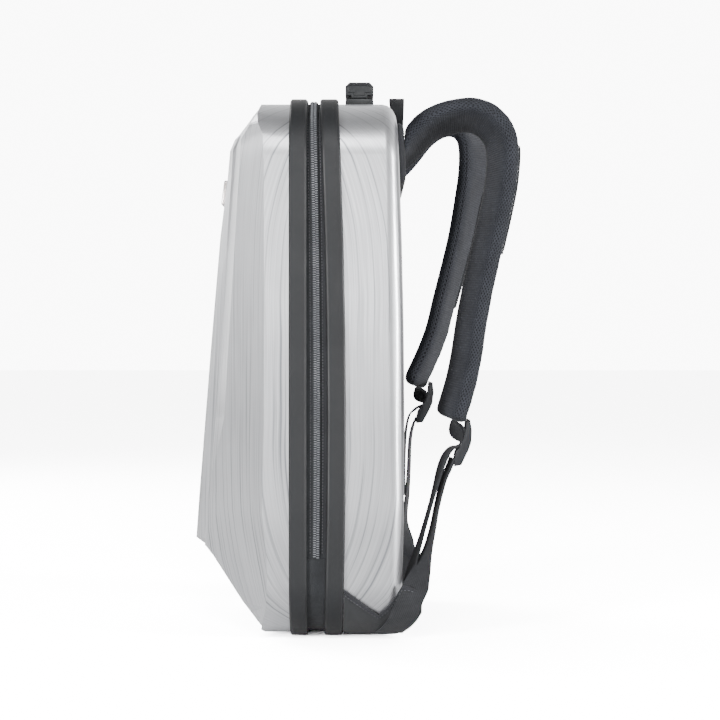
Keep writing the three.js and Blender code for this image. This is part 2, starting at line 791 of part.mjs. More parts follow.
// Webbing from the buckle to the wing and its loose tail. Places are in millimetres from the back
// plane, from the foot of the bag and from the middle; twist turns it about its own length.
const webRoutes = {
  right: {
    load: [
      { out: 43.2, up: 155.5, across: 100, lie: -18, twist: 8 },
      { out: 39.5, up: 146.5, across: 100.6, lie: -20, twist: 8 },
      { out: 34.9, up: 135.4, across: 101.5, lie: -16, twist: 7 },
      { out: 29, up: 113.5, across: 106, lie: -13, twist: 7 },
      { out: 25.8, up: 97.5, across: 111, lie: -11, twist: 8 },
      { out: 21.6, up: 76, across: 121, lie: -13, twist: 12 },
      { out: 15.6, up: 54, across: 136.3, lie: -16, twist: 34 },
      { out: 11.5, up: 43, across: 143.7, lie: -18, twist: 72 },
    ],
    tail: [
      { out: 51.2, up: 167.4, across: 100, lie: -62, twist: 0 },
      { out: 47.2, up: 165.6, across: 100, lie: -62, twist: 0 },
      { out: 42, up: 164, across: 100, lie: -45, twist: 4 },
      { out: 36.8, up: 157.5, across: 100.5, lie: -30, twist: 9 },
      { out: 32, up: 145.5, across: 101, lie: -18, twist: 9 },
      { out: 25.8, up: 123, across: 103, lie: -15, twist: 4 },
      { out: 19.6, up: 101.5, across: 106, lie: -16, twist: 3 },
      { out: 13.2, up: 80.5, across: 112, lie: -17, twist: 6 },
      { out: 7.6, up: 62, across: 118, lie: -16, twist: 12 },
    ],
  },
  left: {
    load: [
      { out: 17.1, up: 185, across: 95, lie: -16, twist: 2 },
      { out: 13.4, up: 174, across: 96, lie: -18, twist: 6 },
      { out: 11.2, up: 160, across: 98, lie: -8, twist: 7 },
      { out: 10.4, up: 136, across: 104, lie: -2, twist: 8 },
      { out: 10.4, up: 108, across: 112, lie: 0, twist: 10 },
      { out: 10.8, up: 80, across: 123, lie: 2, twist: 14 },
      { out: 11.2, up: 56, across: 137, lie: 0, twist: 36 },
      { out: 11, up: 43, across: 143.9, lie: -4, twist: 72 },
    ],
    tail: [
      { out: 25.6, up: 197.4, across: 95, lie: -62, twist: 0 },
      { out: 21, up: 196, across: 95, lie: -58, twist: 0 },
      { out: 15.6, up: 192.5, across: 95, lie: -46, twist: 0 },
      { out: 10.6, up: 187, across: 95, lie: -28, twist: 3 },
      { out: 7.4, up: 173, across: 96, lie: -14, twist: 4 },
      { out: 6, up: 150, across: 98, lie: -5, twist: 4 },
      { out: 5.6, up: 128, across: 101, lie: -2, twist: 4 },
      { out: 5.8, up: 108, across: 105, lie: 0, twist: 4 },
    ],
  },
};

// The middle, the way across and the way out of a strap at one row of its route.
function strapFrame(x, y, z, lie, twist) {
  const across = point(1, 0, 0);
  const out = point(0, cos(lie * degree), sin(lie * degree));
  const c = cos(twist * degree);
  const s = sin(twist * degree);
  return {
    middle: point(x, y, z),
    across: across.clone().multiplyScalar(c).addScaledVector(out, s),
    out: out.clone().multiplyScalar(c).addScaledVector(across, -s),
  };
}

const inFrame = ({ middle, across, out }, a, b) =>
  middle.clone().addScaledVector(across, a).addScaledVector(out, b);

// The other side of the bag is the mirror image.
const mirrored = (sections, side) =>
  sections.map((ring) => ring.map((p) => point(side * p.x, p.y, p.z)));

function padFrames(name) {
  return padRoutes[name].map(({ out, down, spread, lie }) =>
    strapFrame(
      mix(strapRoot, strapEnd, spread),
      backDepth + out * strapReach,
      strapRootHeight - down * strapDrop,
      lie,
      padTwist,
    ),
  );
}

function strapPad(name, side) {
  const frames = padFrames(name);
  const last = frames.length - 1;
  const half = padThick / 2;
  return loft(
    mirrored(
      frames.map((frame, i) => {
        const narrow = i === last ? 0.72 : i === last - 1 ? 0.93 : 1;
        const wide = (padWidth / 2) * narrow;
        const deep = i === 0 ? half * 1.3 : i === last ? half * 0.7 : half;
        return [
          [wide, deep - padEdge],
          [wide - padEdge, deep],
          [padEdge - wide, deep],
          [-wide, deep - padEdge],
          [-wide, padEdge - deep],
          [padEdge - wide, -deep],
          [wide - padEdge, -deep],
          [wide, padEdge - deep],
        ].map(([a, b]) => inFrame(frame, a, b));
      }),
      side,
    ),
  );
}

// A sewn strip along the outer face of a pad, near its outer edge.
function strapStrip(name, side) {
  const place = padWidth / 2 - padEdge - stripWidth;
  const foot = padThick / 2 + gap;
  return loft(
    mirrored(
      padFrames(name)
        .slice(stripRows.first, stripRows.last + 1)
        .map((frame) =>
          [
            [place, foot],
            [place + stripWidth, foot],
            [place + stripWidth, foot + stripThick],
            [place, foot + stripThick],
          ].map(([a, b]) => inFrame(frame, a, b)),
        ),
      side,
    ),
  );
}

const lockPoint = (name, { out, down }) => {
  const { y, z, lean } = lockPlaces[name];
  const turn = lean * degree;
  const a = out * lockLength;
  const b = down * lockLength;
  return [y + a * cos(turn) - b * sin(turn), z - b * cos(turn) - a * sin(turn)];
};

function ladderLock(name, side) {
  const place = (y, z, along) => point(side * along, y, z);
  const inner = lockWidth / 2 - lockRail;
  const outer = lockWidth / 2;
  const across = name === "right" ? strapEnd : strapEndLeft;
  const profile = lockProfile.map((p) => lockPoint(name, p));
  const bars = lockBars.map((bar) => {
    const [y, z] = lockPoint(name, bar);
    return range(8).map((i) => {
      const turn = ((i + 0.5) / 8) * 2 * PI;
      return [y + (lockBar / 2) * cos(turn), z + (lockBar / 2) * sin(turn)];
    });
  });
  return fuse([
    prism(profile, across + inner, across + outer, place),
    prism(profile, across - outer, across - inner, place),
    ...bars.map((bar) => prism(bar, across - inner - 1, across + inner + 1, place)),
  ]);
}

const webSection = (frame, wide, thick) =>
  [
    [wide / 2, thick / 2],
    [-wide / 2, thick / 2],
    [-wide / 2, -thick / 2],
    [wide / 2, -thick / 2],
  ].map(([a, b]) => inFrame(frame, a, b));

// The short doubled web that holds the buckle to the pad's end.
function webLink(name, side) {
  const { lie } = padRoutes[name].at(-1);
  const end = padFrames(name).at(-1).middle;
  const across = name === "right" ? strapEnd : strapEndLeft;
  const thick = webThick * 1.5;
  const [y, z] = lockPoint(name, { out: -0.02, down: 0.48 });
  const back = (lockBar + thick) / 2 + gap;
  const fall = strapFrame(across, y - back, z + 1, linkLie, 0);
  const rows = [
    strapFrame(
      across,
      end.y + linkOut * cos(lie * degree) + gap * sin(lie * degree),
      end.z + linkOut * sin(lie * degree) - gap * cos(lie * degree),
      lie,
      0,
    ),
    fall,
    { ...fall, middle: fall.middle.clone().add(point(0, -0.4, -3)) },
  ];
  return loft(
    mirrored(
      rows.map((frame) => webSection(frame, webWidth - 1, thick)),
      side,
    ),
  );
}

function webbing(name, side, which) {
  const rows = webRoutes[name][which];
  return loft(
    mirrored(
      rows.map(({ out, up, across, lie, twist }) =>
        webSection(strapFrame(across, backDepth + out, up, lie, twist), webWidth - 1, webThick),
      ),
      side,
    ),
  );
}

// The cloth wing that wraps the rear shell's lower corner and carries the webbing.
// back: from the bumper to the wing's tip. top and end: where it starts and stops round the corner,
// in degrees from the side wall to the foot.
const wingRows = [
  { back: 0, top: 5, end: 90 },
  { back: 0.21, top: 18, end: 90 },
  { back: 0.45, top: 33.5, end: 90 },
  { back: 0.6, top: 19.5, end: 88 },
  { back: 0.74, top: 1, end: 64 },
  { back: 0.84, top: 2, end: 55 },
  { back: 0.94, top: 6, end: 40 },
  { back: 1, top: 12, end: 29 },
];

function strapWing(side) {
  const stops = rightHalf(shellEdge);
  const corner = stops.slice(1, cornerFaces + 2);
  const sideTurn = corner.at(-1).turn;
  const footTurn = corner[0].turn;
  const centre = { x: corner[0].x, z: corner[0].z + shellEdge.radius };
  const sheet = (off) =>
    wingRows.map(({ back, top, end }) =>
      range(cornerFaces + 1).map((i) => {
        const share = mix(top, end, i / cornerFaces) / 90;
        const turn = mix(sideTurn, footTurn, share);
        const reach = (shellEdge.radius + off) / cos(PI / 4 / cornerFaces); // clears the shell's facets
        const x = centre.x + reach * cos(turn);
        const z = centre.z + reach * sin(turn);
        const seam = rearMiddle + rearHalf + bow(z) + gap;
        return point(side * x, mix(seam, backDepth + wingReach, back), z);
      }),
    );
  const inner = sheet(2 * gap);
  const outer = sheet(2 * gap + wingThick);
  return slab(outer, inner);
}

// A sheet with a thickness, from two grids of points.
function slab(outer, inner) {
  const skin = new Skin();
  skin.grid(outer);
  skin.grid(inner.map((row) => [...row].reverse()));
  skin.grid([inner[0], outer[0]]);
  skin.grid([outer.at(-1), inner.at(-1)]);
  const column = (rows, c) => rows.map((row) => row.at(c));
  skin.grid([column(outer, 0), column(inner, 0)]);
  skin.grid([column(inner, -1), column(outer, -1)]);
  return skin.geometry();
}

// MATERIALS
const finish = (color, roughness, metalness = 0) =>
  new THREE.MeshStandardMaterial({ color, roughness, metalness, flatShading: true });
const silver = finish(0xc4c6c9, 0.32, 0.75);
const bumperGrey = finish(0x3c3f42, 0.5);
const tapeCloth = finish(0x2b2d30, 0.9);
const coilNylon = finish(0x35373a, 0.45);
const plateMetal = finish(0xd9d4d2, 0.3, 0.8);
const sliderMetal = finish(0x4b4d50, 0.35, 0.8);
const gripPlastic = finish(0x3a3d40, 0.5);
const meshCloth = finish(0x2c2e33, 0.95);
const webCloth = finish(0x1f2022, 0.9);
const lockPlastic = finish(0x26282a, 0.4);
const wingCloth = finish(0x2e2f31, 0.9);

// ASSEMBLY
const bag = new THREE.Group();

function add(group, name, geometry, material) {
  const mesh = new THREE.Mesh(geometry, material);
  mesh.name = name;
  geometry.computeVertexNormals();
  group.add(mesh);
}

const front = new THREE.Group();
add(front, "front_shell", frontShell(), silver);
add(front, "front_bumper", bumper(0, frontHalf, -1, false), bumperGrey);
add(front, "front_badge", badge(), plateMetal);

const rear = new THREE.Group();
add(rear, "rear_shell", rearShell(), silver);
add(rear, "rear_bumper", bumper(rearMiddle, rearHalf, 1, true), bumperGrey);
add(rear, "back_panel", backPanel(), meshCloth);
add(rear, "strap_yoke", yoke(), webCloth);
add(rear, "hang_loop", hangLoop(), webCloth);
add(rear, "handle_mount_right", handleMount(1), gripPlastic);
add(rear, "handle_mount_left", handleMount(-1), gripPlastic);
add(rear, "handle_grip", handleGrip(), gripPlastic);

const zip = new THREE.Group();
add(zip, "zip_tape_front", frontTape(), tapeCloth);
add(zip, "zip_tape_rear", rearTape(), tapeCloth);
add(zip, "zip_coil", zipCoil(), coilNylon);
add(zip, "hinge_strip", hingeStrip(), tapeCloth);
add(zip, "zip_slider_upper", zipSlider(1), sliderMetal);
add(zip, "zip_slider_lower", zipSlider(-1), sliderMetal);

const straps = new THREE.Group();
for (const [name, side] of [
  ["right", 1],
  ["left", -1],
]) {
  const strap = new THREE.Group();
  add(strap, `strap_pad_${name}`, strapPad(name, side), meshCloth);
  add(strap, `strap_strip_${name}`, strapStrip(name, side), webCloth);
  add(strap, `web_link_${name}`, webLink(name, side), webCloth);
  add(strap, `ladder_lock_${name}`, ladderLock(name, side), lockPlastic);
  add(strap, `web_load_${name}`, webbing(name, side, "load"), webCloth);
  add(strap, `web_tail_${name}`, webbing(name, side, "tail"), webCloth);
  add(strap, `strap_wing_${name}`, strapWing(side), wingCloth);
  straps.add(strap);
}

bag.add(front, rear, zip, straps);
export default bag;
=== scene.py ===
"""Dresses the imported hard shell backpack: finishes, soft goods, trim, studio and camera."""

import logging
import math
from collections.abc import Callable, Sequence
from dataclasses import dataclass, field
from enum import Enum

import bmesh
import bpy
from mathutils import Matrix, Vector


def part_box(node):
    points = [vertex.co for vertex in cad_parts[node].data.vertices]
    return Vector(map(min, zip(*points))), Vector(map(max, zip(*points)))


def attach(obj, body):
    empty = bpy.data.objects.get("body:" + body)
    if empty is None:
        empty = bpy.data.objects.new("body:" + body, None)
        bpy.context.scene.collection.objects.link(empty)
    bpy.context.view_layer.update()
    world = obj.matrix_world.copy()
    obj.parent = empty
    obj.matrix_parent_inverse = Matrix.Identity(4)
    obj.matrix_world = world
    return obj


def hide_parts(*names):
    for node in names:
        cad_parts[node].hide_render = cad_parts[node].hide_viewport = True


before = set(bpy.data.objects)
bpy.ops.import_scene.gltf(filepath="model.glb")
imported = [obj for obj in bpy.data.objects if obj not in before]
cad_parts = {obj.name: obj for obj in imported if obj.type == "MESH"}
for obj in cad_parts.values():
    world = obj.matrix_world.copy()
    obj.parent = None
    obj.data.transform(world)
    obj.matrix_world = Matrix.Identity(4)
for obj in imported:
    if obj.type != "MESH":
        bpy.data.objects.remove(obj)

log = logging.getLogger("backpack")

MM = 0.001
BODY = "root"
Point = tuple[float, float, float]
Colour = tuple[float, float, float, float]
Ring = list[Vector]


class Side(Enum):
    """The wearer's side that a piece is on."""

    RIGHT = 1
    LEFT = -1

    @property
    def word(self) -> str:
        """The side's name in the names of pieces."""
        return self.name.lower()


# Small helpers


def srgb(red: float, green: float, blue: float) -> Colour:
    """A linear colour from one given in 0 to 255.

    Args:
        red: red on the screen.
        green: green on the screen.
        blue: blue on the screen.

    Returns:
        The colour as Blender's shaders take it.
    """

    def linear(value: float) -> float:
        """One channel made linear."""
        share = value / 255
        return share / 12.92 if share <= 0.04045 else ((share + 0.055) / 1.055) ** 2.4

    return (linear(red), linear(green), linear(blue), 1.0)


def mix(low: float, high: float, share: float) -> float:
    """The value a share of the way from low to high."""
    return low + (high - low) * share


def curve_through(values: Sequence[float], place: float) -> float:
    """A smooth value at a place along a list of evenly numbered values.

    Args:
        values: the values that the curve passes through.
        place: from 0 to the last index.

    Returns:
        The value of the Catmull-Rom curve there.
    """
    last = len(values) - 1
    low = min(int(place), last - 1)
    share = place - low
    before = values[max(low - 1, 0)]
    start = values[low]
    end = values[low + 1]
    after = values[min(low + 2, last)]
    return 0.5 * (
        2 * start
        + (end - before) * share
        + (2 * before - 5 * start + 4 * end - after) * share**2
        + (3 * start - before - 3 * end + after) * share**3
    )


def only(piece: bpy.types.Object) -> None:
    """Makes a piece the one selected and active object."""
    if bpy.context.object and bpy.context.object.mode != "OBJECT":
        bpy.ops.object.mode_set(mode="OBJECT")
    bpy.ops.object.select_all(action="DESELECT")
    piece.select_set(True)
    bpy.context.view_layer.objects.active = piece


def apply_modifier(piece: bpy.types.Object, kind: str, **settings: object) -> None:
    """Adds a modifier to a piece and applies it.

    Args:
        piece: the piece.
        kind: Blender's name of the modifier.
        settings: the modifier's settings by name.
    """
    only(piece)
    modifier = piece.modifiers.new(kind.lower(), kind)
    for name, value in settings.items():
        setattr(modifier, name, value)
    bpy.ops.object.modifier_apply(modifier=modifier.name)


def smooth(piece: bpy.types.Object, degrees: float) -> None:
    """Shades a piece smooth except at edges sharper than an angle."""
    only(piece)
    bpy.ops.object.shade_smooth_by_angle(angle=math.radians(degrees))


def edit_select(piece: bpy.types.Object, chosen: Callable[[bpy.types.MeshPolygon], bool]) -> None:
    """Opens a piece in edit mode with only the chosen faces selected.

    Args:
        piece: the piece to edit.
        chosen: says whether a face is selected.
    """
    only(piece)
    bpy.ops.object.mode_set(mode="EDIT")
    bpy.ops.mesh.select_mode(type="FACE")
    bpy.ops.mesh.select_all(action="DESELECT")
    bpy.ops.object.mode_set(mode="OBJECT")
    for face in piece.data.polygons:
        face.select = chosen(face)
    bpy.ops.object.mode_set(mode="EDIT")


def node_copy(node: str, name: str, flat_degrees: float = 0.6) -> bpy.types.Object:
    """A merged copy of a CAD node, with its flat faces joined, ready to be shaped.

    Args:
        node: the CAD node.
        name: the new piece's name.
        flat_degrees: faces that meet flatter than this are joined.

    Returns:
        The new piece.
    """
    piece = bpy.data.objects.new(name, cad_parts[node].data.copy())
    bpy.context.scene.collection.objects.link(piece)
    piece.data.materials.clear()
    only(piece)
    bpy.ops.object.mode_set(mode="EDIT")
    bpy.ops.mesh.select_all(action="SELECT")
    bpy.ops.mesh.customdata_custom_splitnormals_clear()
    bpy.ops.mesh.remove_doubles(threshold=0.00002)
    bpy.ops.mesh.dissolve_limited(angle_limit=math.radians(flat_degrees))
    bpy.ops.object.mode_set(mode="OBJECT")
    return piece


def lofted(
    name: str,
    rings: Sequence[Sequence[Vector]],
    closed: bool = True,
    caps: bool = True,
    wrapped: bool = False,
) -> bpy.types.Object:
    """A surface through rings of equal length, with a UV map in metres along and round it.

    Args:
        name: the new piece's name.
        rings: the rings, in order along the piece.
        closed: whether each ring closes on itself.
        caps: whether the two ends are filled.
        wrapped: whether the last ring joins the first.

    Returns:
        The new piece.
    """
    count = len(rings[0])
    mesh = bpy.data.meshes.new(name)
    made = bmesh.new()
    layer = made.loops.layers.uv.new("cloth")
    rows = [[made.verts.new(spot) for spot in ring] for ring in rings]
    along = [0.0]
    for low, high in zip(rings, list(rings[1:]) + [rings[0]]):
        along.append(along[-1] + sum((b - a).length for a, b in zip(low, high)) / count)
    around = [0.0]
    middle = rings[len(rings) // 2]
    for index in range(count):
        around.append(around[-1] + (middle[(index + 1) % count] - middle[index]).length)
    steps = count if closed else count - 1
    turns = len(rings) if wrapped else len(rings) - 1
    for row in range(turns):
        for step in range(steps):
            following = (step + 1) % count
            above = (row + 1) % len(rows)
            face = made.faces.new(
                (rows[row][step], rows[row][following], rows[above][following], rows[above][step])
            )
            places = (
                (around[step], along[row]),
                (around[step + 1], along[row]),
                (around[step + 1], along[row + 1]),
                (around[step], along[row + 1]),
            )
            for corner, place in zip(face.loops, places):
                corner[layer].uv = place
    if closed and caps and not wrapped:
        made.faces.new(list(reversed(rows[0])))
        made.faces.new(rows[-1])
    bmesh.ops.recalc_face_normals(made, faces=made.faces)
    made.to_mesh(mesh)
    made.free()
    piece = bpy.data.objects.new(name, mesh)
    bpy.context.scene.collection.objects.link(piece)
    return piece


def joined(name: str, pieces: Sequence[bpy.types.Object]) -> bpy.types.Object:
    """Several pieces joined into one.

    Args:
        name: the joined piece's name.
        pieces: the pieces, of which the first takes in the others.

    Returns:
        The joined piece.
    """
    only(pieces[0])
    for piece in pieces:
        piece.select_set(True)
    bpy.ops.object.join()
    pieces[0].name = name
    return pieces[0]


def placed_copies(
    name: str, pattern: bpy.types.Object, places: Sequence[Matrix]
) -> bpy.types.Object:
    """One piece made of copies of a small pattern, which is then removed.

    Args:
        name: the new piece's name.
        pattern: the shape to repeat, modelled at the origin.
        places: where each copy goes.

    Returns:
        The piece with all copies.
    """
    spots: list[Vector] = []
    faces: list[list[int]] = []
    for place in places:
        first = len(spots)
        spots.extend(place @ vertex.co for vertex in pattern.data.vertices)
        faces.extend([first + index for index in face.vertices] for face in pattern.data.polygons)
    mesh = bpy.data.meshes.new(name)
    mesh.from_pydata(spots, [], faces)
    mesh.update()
    bpy.data.objects.remove(pattern)
    piece = bpy.data.objects.new(name, mesh)
    bpy.context.scene.collection.objects.link(piece)
    return piece


def turned_to(place: Vector, along: Vector, out: Vector) -> Matrix:
    """A matrix that puts a pattern at a place, its X along a seam and its Z away from the cloth."""
    x_axis = along.normalized()
    z_axis = (out - x_axis * out.dot(x_axis)).normalized()
    y_axis = z_axis.cross(x_axis)
    turn = Matrix((x_axis, y_axis, z_axis)).transposed().to_4x4()
    return Matrix.Translation(place) @ turn


def stitched(
    name: str, path: Sequence[Vector], outs: Sequence[Vector], pitch: float = 3.2 * MM
) -> bpy.types.Object:
    """A row of short raised stitches along a path.

    Args:
        name: the new piece's name.
        path: the points that the seam follows.
        outs: the way out of the cloth at each point.
        pitch: from one stitch to the next.

    Returns:
        The seam's thread as one piece.
    """
    only_none()
    bpy.ops.mesh.primitive_cube_add(size=1)
    pattern = bpy.context.object
    for vertex in pattern.data.vertices:
        taper = 0.62 if vertex.co.z > 0 else 1.0
        spot = vertex.co
        vertex.co = (spot.x * pitch * 0.72 * taper, spot.y * 0.9 * MM * taper, spot.z * 0.7 * MM)
    places = []
    left = pitch / 2
    for index in range(len(path) - 1):
        start, end = path[index], path[index + 1]
        length = (end - start).length
        while left < length:
            share = left / length
            out = outs[index].lerp(outs[index + 1], share)
            places.append(turned_to(start.lerp(end, share), end - start, out))
            left += pitch
        left -= length
    return placed_copies(name, pattern, places)


def only_none() -> None:
    """Leaves nothing selected and no mesh open."""
    if bpy.context.object and bpy.context.object.mode != "OBJECT":
        bpy.ops.object.mode_set(mode="OBJECT")
    bpy.ops.object.select_all(action="DESELECT")


def settle(
    piece: bpy.types.Object, material: bpy.types.Material, slot: str, *nodes: str
) -> bpy.types.Object:
    """Gives a piece its finish and its body, and hides the CAD nodes that it stands for.

    Args:
        piece: the finished piece.
        material: its finish.
        slot: not used.
        nodes: the CAD nodes that it replaces.

    Returns:
        The piece.
    """
    piece.data.materials.clear()
    piece.data.materials.append(material)
    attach(piece, BODY)
    if nodes:
        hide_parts(*nodes)
    return piece


# Finishes


class Graph:
    """Adds and wires the nodes of one tree."""

    def __init__(self, tree: bpy.types.NodeTree) -> None:
        """Starts on a tree.

        Args:
            tree: the node tree to add to.
        """
        self.tree = tree

    def add(self, kind: str, **settings: object) -> bpy.types.Node:
        """A new node.

        Args:
            kind: Blender's name of the node type.
            settings: its settings by name.

        Returns:
            The node.
        """
        node = self.tree.nodes.new(kind)
        for name, value in settings.items():
            setattr(node, name, value)
        return node

    def feed(self, socket: bpy.types.NodeSocket, value: object) -> None:
        """Wires a socket to another, or sets its value."""
        if isinstance(value, bpy.types.NodeSocket):
            self.tree.links.new(value, socket)
        else:
            socket.default_value = value

    def math(self, operation: str, *values: object) -> bpy.types.NodeSocket:
        """The result of a Math node.

        Args:
            operation: Blender's name of the operation.
            values: sockets or numbers.

        Returns:
            The node's output.
        """
        node = self.add("ShaderNodeMath", operation=operation)
        for socket, value in zip(node.inputs, values):
            self.feed(socket, value)
        return node.outputs[0]

    def ranged(
        self, value: object, low: float, high: float, to_low: float = 0.0, to_high: float = 1.0
    ) -> bpy.types.NodeSocket:
        """A value moved from one range to another and kept inside it.

        Args:
            value: the value's socket.
            low: start of its range.
            high: end of its range.
            to_low: what low becomes.
            to_high: what high becomes.

        Returns:
            The node's output.
        """
        node = self.add("ShaderNodeMapRange", clamp=True)
        for socket, given in zip(node.inputs, (value, low, high, to_low, to_high)):
            self.feed(socket, given)
        return node.outputs[0]

    def noise(self, place: object, scale: float, detail: float = 2.0) -> bpy.types.NodeSocket:
        """Noise from 0 to 1 at a place."""
        node = self.add("ShaderNodeTexNoise")
        self.feed(node.inputs["Vector"], place)
        node.inputs["Scale"].default_value = scale
        node.inputs["Detail"].default_value = detail
        return node.outputs["Fac"]

    def mixed(self, share: object, first: object, second: object) -> bpy.types.NodeSocket:
        """Two colours mixed by a share."""
        node = self.add("ShaderNodeMix", data_type="RGBA")
        for index, value in ((0, share), (6, first), (7, second)):
            self.feed(node.inputs[index], value)
        return node.outputs[2]

    def split(self, place: object) -> list[bpy.types.NodeSocket]:
        """The three numbers of a vector."""
        node = self.add("ShaderNodeSeparateXYZ")
        self.feed(node.inputs[0], place)
        return list(node.outputs)

    def vector(self, *values: object) -> bpy.types.NodeSocket:
        """A vector from three numbers."""
        node = self.add("ShaderNodeCombineXYZ")
        for socket, value in zip(node.inputs, values):
            self.feed(socket, value)
        return node.outputs[0]

    def bumped(self, height: object, strength: float, distance: float) -> bpy.types.NodeSocket:
        """A normal from a height that changes over the surface."""
        node = self.add("ShaderNodeBump")
        node.inputs["Strength"].default_value = strength
        node.inputs["Distance"].default_value = distance
        self.feed(node.inputs["Height"], height)
        return node.outputs[0]


def new_group(
    name: str, inputs: Sequence[tuple[str, str]], outputs: Sequence[str]
) -> tuple[bpy.types.NodeTree, Graph, bpy.types.Node, bpy.types.Node]:
    """An empty shader node group.

    Args:
        name: the group's name.
        inputs: name and kind of each input.
        outputs: names of the outputs, which are numbers.

    Returns:
        The group, its graph, its input node and its output node.
    """
    group = bpy.data.node_groups.new(name, "ShaderNodeTree")
    for label, kind in inputs:
        group.interface.new_socket(label, in_out="INPUT", socket_type=kind)
    for label in outputs:
        group.interface.new_socket(label, in_out="OUTPUT", socket_type="NodeSocketFloat")
    graph = Graph(group)
    return group, graph, graph.add("NodeGroupInput"), graph.add("NodeGroupOutput")


def weave_group() -> bpy.types.NodeTree:
    """A plain weave: threads that pass over and under each other.

    Returns:
        The group, with the thread's height and a slow change of shade.
    """
    group, graph, given, put = new_group(
        "plain_weave",
        [("Place", "NodeSocketVector"), ("Across", "NodeSocketFloat"), ("Along", "NodeSocketFloat")],
        ["Height", "Shade"],
    )
    across, along, _ = graph.split(given.outputs["Place"])
    warp = graph.math("SINE", graph.math("MULTIPLY", across, given.outputs["Across"]))
    weft = graph.math("SINE", graph.math("MULTIPLY", along, given.outputs["Along"]))
    over = graph.math("GREATER_THAN", graph.math("MULTIPLY", warp, weft), 0.0)
    warp_height = graph.math("ABSOLUTE", warp)
    weft_height = graph.math("ABSOLUTE", weft)
    picked = graph.add("ShaderNodeMix", data_type="FLOAT")
    for index, value in ((0, over), (2, weft_height), (3, warp_height)):
        graph.feed(picked.inputs[index], value)
    graph.feed(put.inputs["Height"], picked.outputs[0])
    slow = graph.noise(given.outputs["Place"], 60.0, 3.0)
    graph.feed(put.inputs["Shade"], graph.ranged(slow, 0.3, 0.7))
    return group


def spacer_group() -> bpy.types.NodeTree:
    """Spacer mesh: staggered round holes between soft ribs.

    Returns:
        The group, with the mesh's height and the mask of its holes.
    """
    group, graph, given, put = new_group(
        "spacer_mesh",
        [("Place", "NodeSocketVector"), ("Pitch", "NodeSocketFloat")],
        ["Height", "Hole"],
    )
    across, along, _ = graph.split(given.outputs["Place"])
    turns = graph.math("DIVIDE", math.tau, given.outputs["Pitch"])
    first = graph.math("COSINE", graph.math("MULTIPLY", across, turns))
    second = graph.math("COSINE", graph.math("MULTIPLY", graph.math("MULTIPLY", along, 0.6), turns))
    dots = graph.math("MULTIPLY", first, second)
    hole = graph.ranged(dots, 0.25, 0.7)
    graph.feed(put.inputs["Hole"], hole)
    graph.feed(put.inputs["Height"], graph.math("SUBTRACT", 1.0, hole))
    return group


def grain_group() -> bpy.types.NodeTree:
    """Fine grain of moulded plastic with slow smudges.

    Returns:
        The group, with the grain's height and a mask of rubbed places.
    """
    group, graph, given, put = new_group(
        "moulded_grain",
        [("Place", "NodeSocketVector")],
        ["Height", "Rubbed"],
    )
    place = given.outputs["Place"]
    graph.feed(put.inputs["Height"], graph.noise(place, 1500.0, 3.0))
    graph.feed(put.inputs["Rubbed"], graph.ranged(graph.noise(place, 22.0, 4.0), 0.42, 0.68))
    return group


def brushed_group() -> bpy.types.NodeTree:
    """Hair lines of a brushed film that run up a shell and bend towards its rim at both ends.

    Returns:
        The group, with fine lines, a few dark hairs and slow clouds, each from 0 to 1.
    """
    group, graph, given, put = new_group(
        "brushed_film",
        [
            ("Place", "NodeSocketVector"),
            ("Rim", "NodeSocketFloat"),
            ("Half Width", "NodeSocketFloat"),
            ("Middle", "NodeSocketFloat"),
            ("Reach", "NodeSocketFloat"),
        ],
        ["Fine", "Hair", "Cloud"],
    )
    across, depth, height = graph.split(given.outputs["Place"])
    from_rim = graph.math("ABSOLUTE", graph.math("SUBTRACT", depth, given.outputs["Rim"]))
    inward = graph.math(
        "SUBTRACT", given.outputs["Half Width"], graph.math("ABSOLUTE", across)
    )
    travelled = graph.math("ADD", from_rim, graph.math("MAXIMUM", inward, 0.0))
    rise = graph.math(
        "DIVIDE", graph.math("SUBTRACT", height, given.outputs["Middle"]), given.outputs["Reach"]
    )
    bend = graph.math("POWER", graph.math("ABSOLUTE", rise), 4.0)
    drift = graph.noise(graph.vector(0.0, 0.0, height), 9.0, 1.0)
    lane = graph.math(
        "ADD",
        graph.math("ADD", travelled, graph.math("MULTIPLY", bend, 0.03)),
        graph.math("MULTIPLY", drift, 0.006),
    )
    side = graph.math("SIGN", across)
    fine_place = graph.vector(
        graph.math("MULTIPLY", lane, 900.0), graph.math("MULTIPLY", height, 9.0), side
    )
    hair_place = graph.vector(
        graph.math("MULTIPLY", lane, 300.0), graph.math("MULTIPLY", height, 3.0), side
    )
    graph.feed(put.inputs["Fine"], graph.noise(fine_place, 1.0, 2.0))
    graph.feed(put.inputs["Hair"], graph.ranged(graph.noise(hair_place, 1.0, 3.0), 0.56, 0.72))
    graph.feed(put.inputs["Cloud"], graph.noise(graph.vector(lane, 0.0, height), 14.0, 2.0))
    return group


class Effects:
    """The shader node groups that the finishes share."""

    def __init__(self) -> None:
        """Builds every group once."""
        self.weave = weave_group()
        self.spacer = spacer_group()
        self.grain = grain_group()
        self.brushed = brushed_group()


def start_material(name: str) -> tuple[bpy.types.Material, Graph, bpy.types.Node]:
    """A new material with its Principled shader.

    Args:
        name: the material's name.

    Returns:
        The material, its graph and the shader.
    """
    material = bpy.data.materials.new(name)
    material.use_nodes = True
    shader = material.node_tree.nodes["Principled BSDF"]
    return material, Graph(material.node_tree), shader


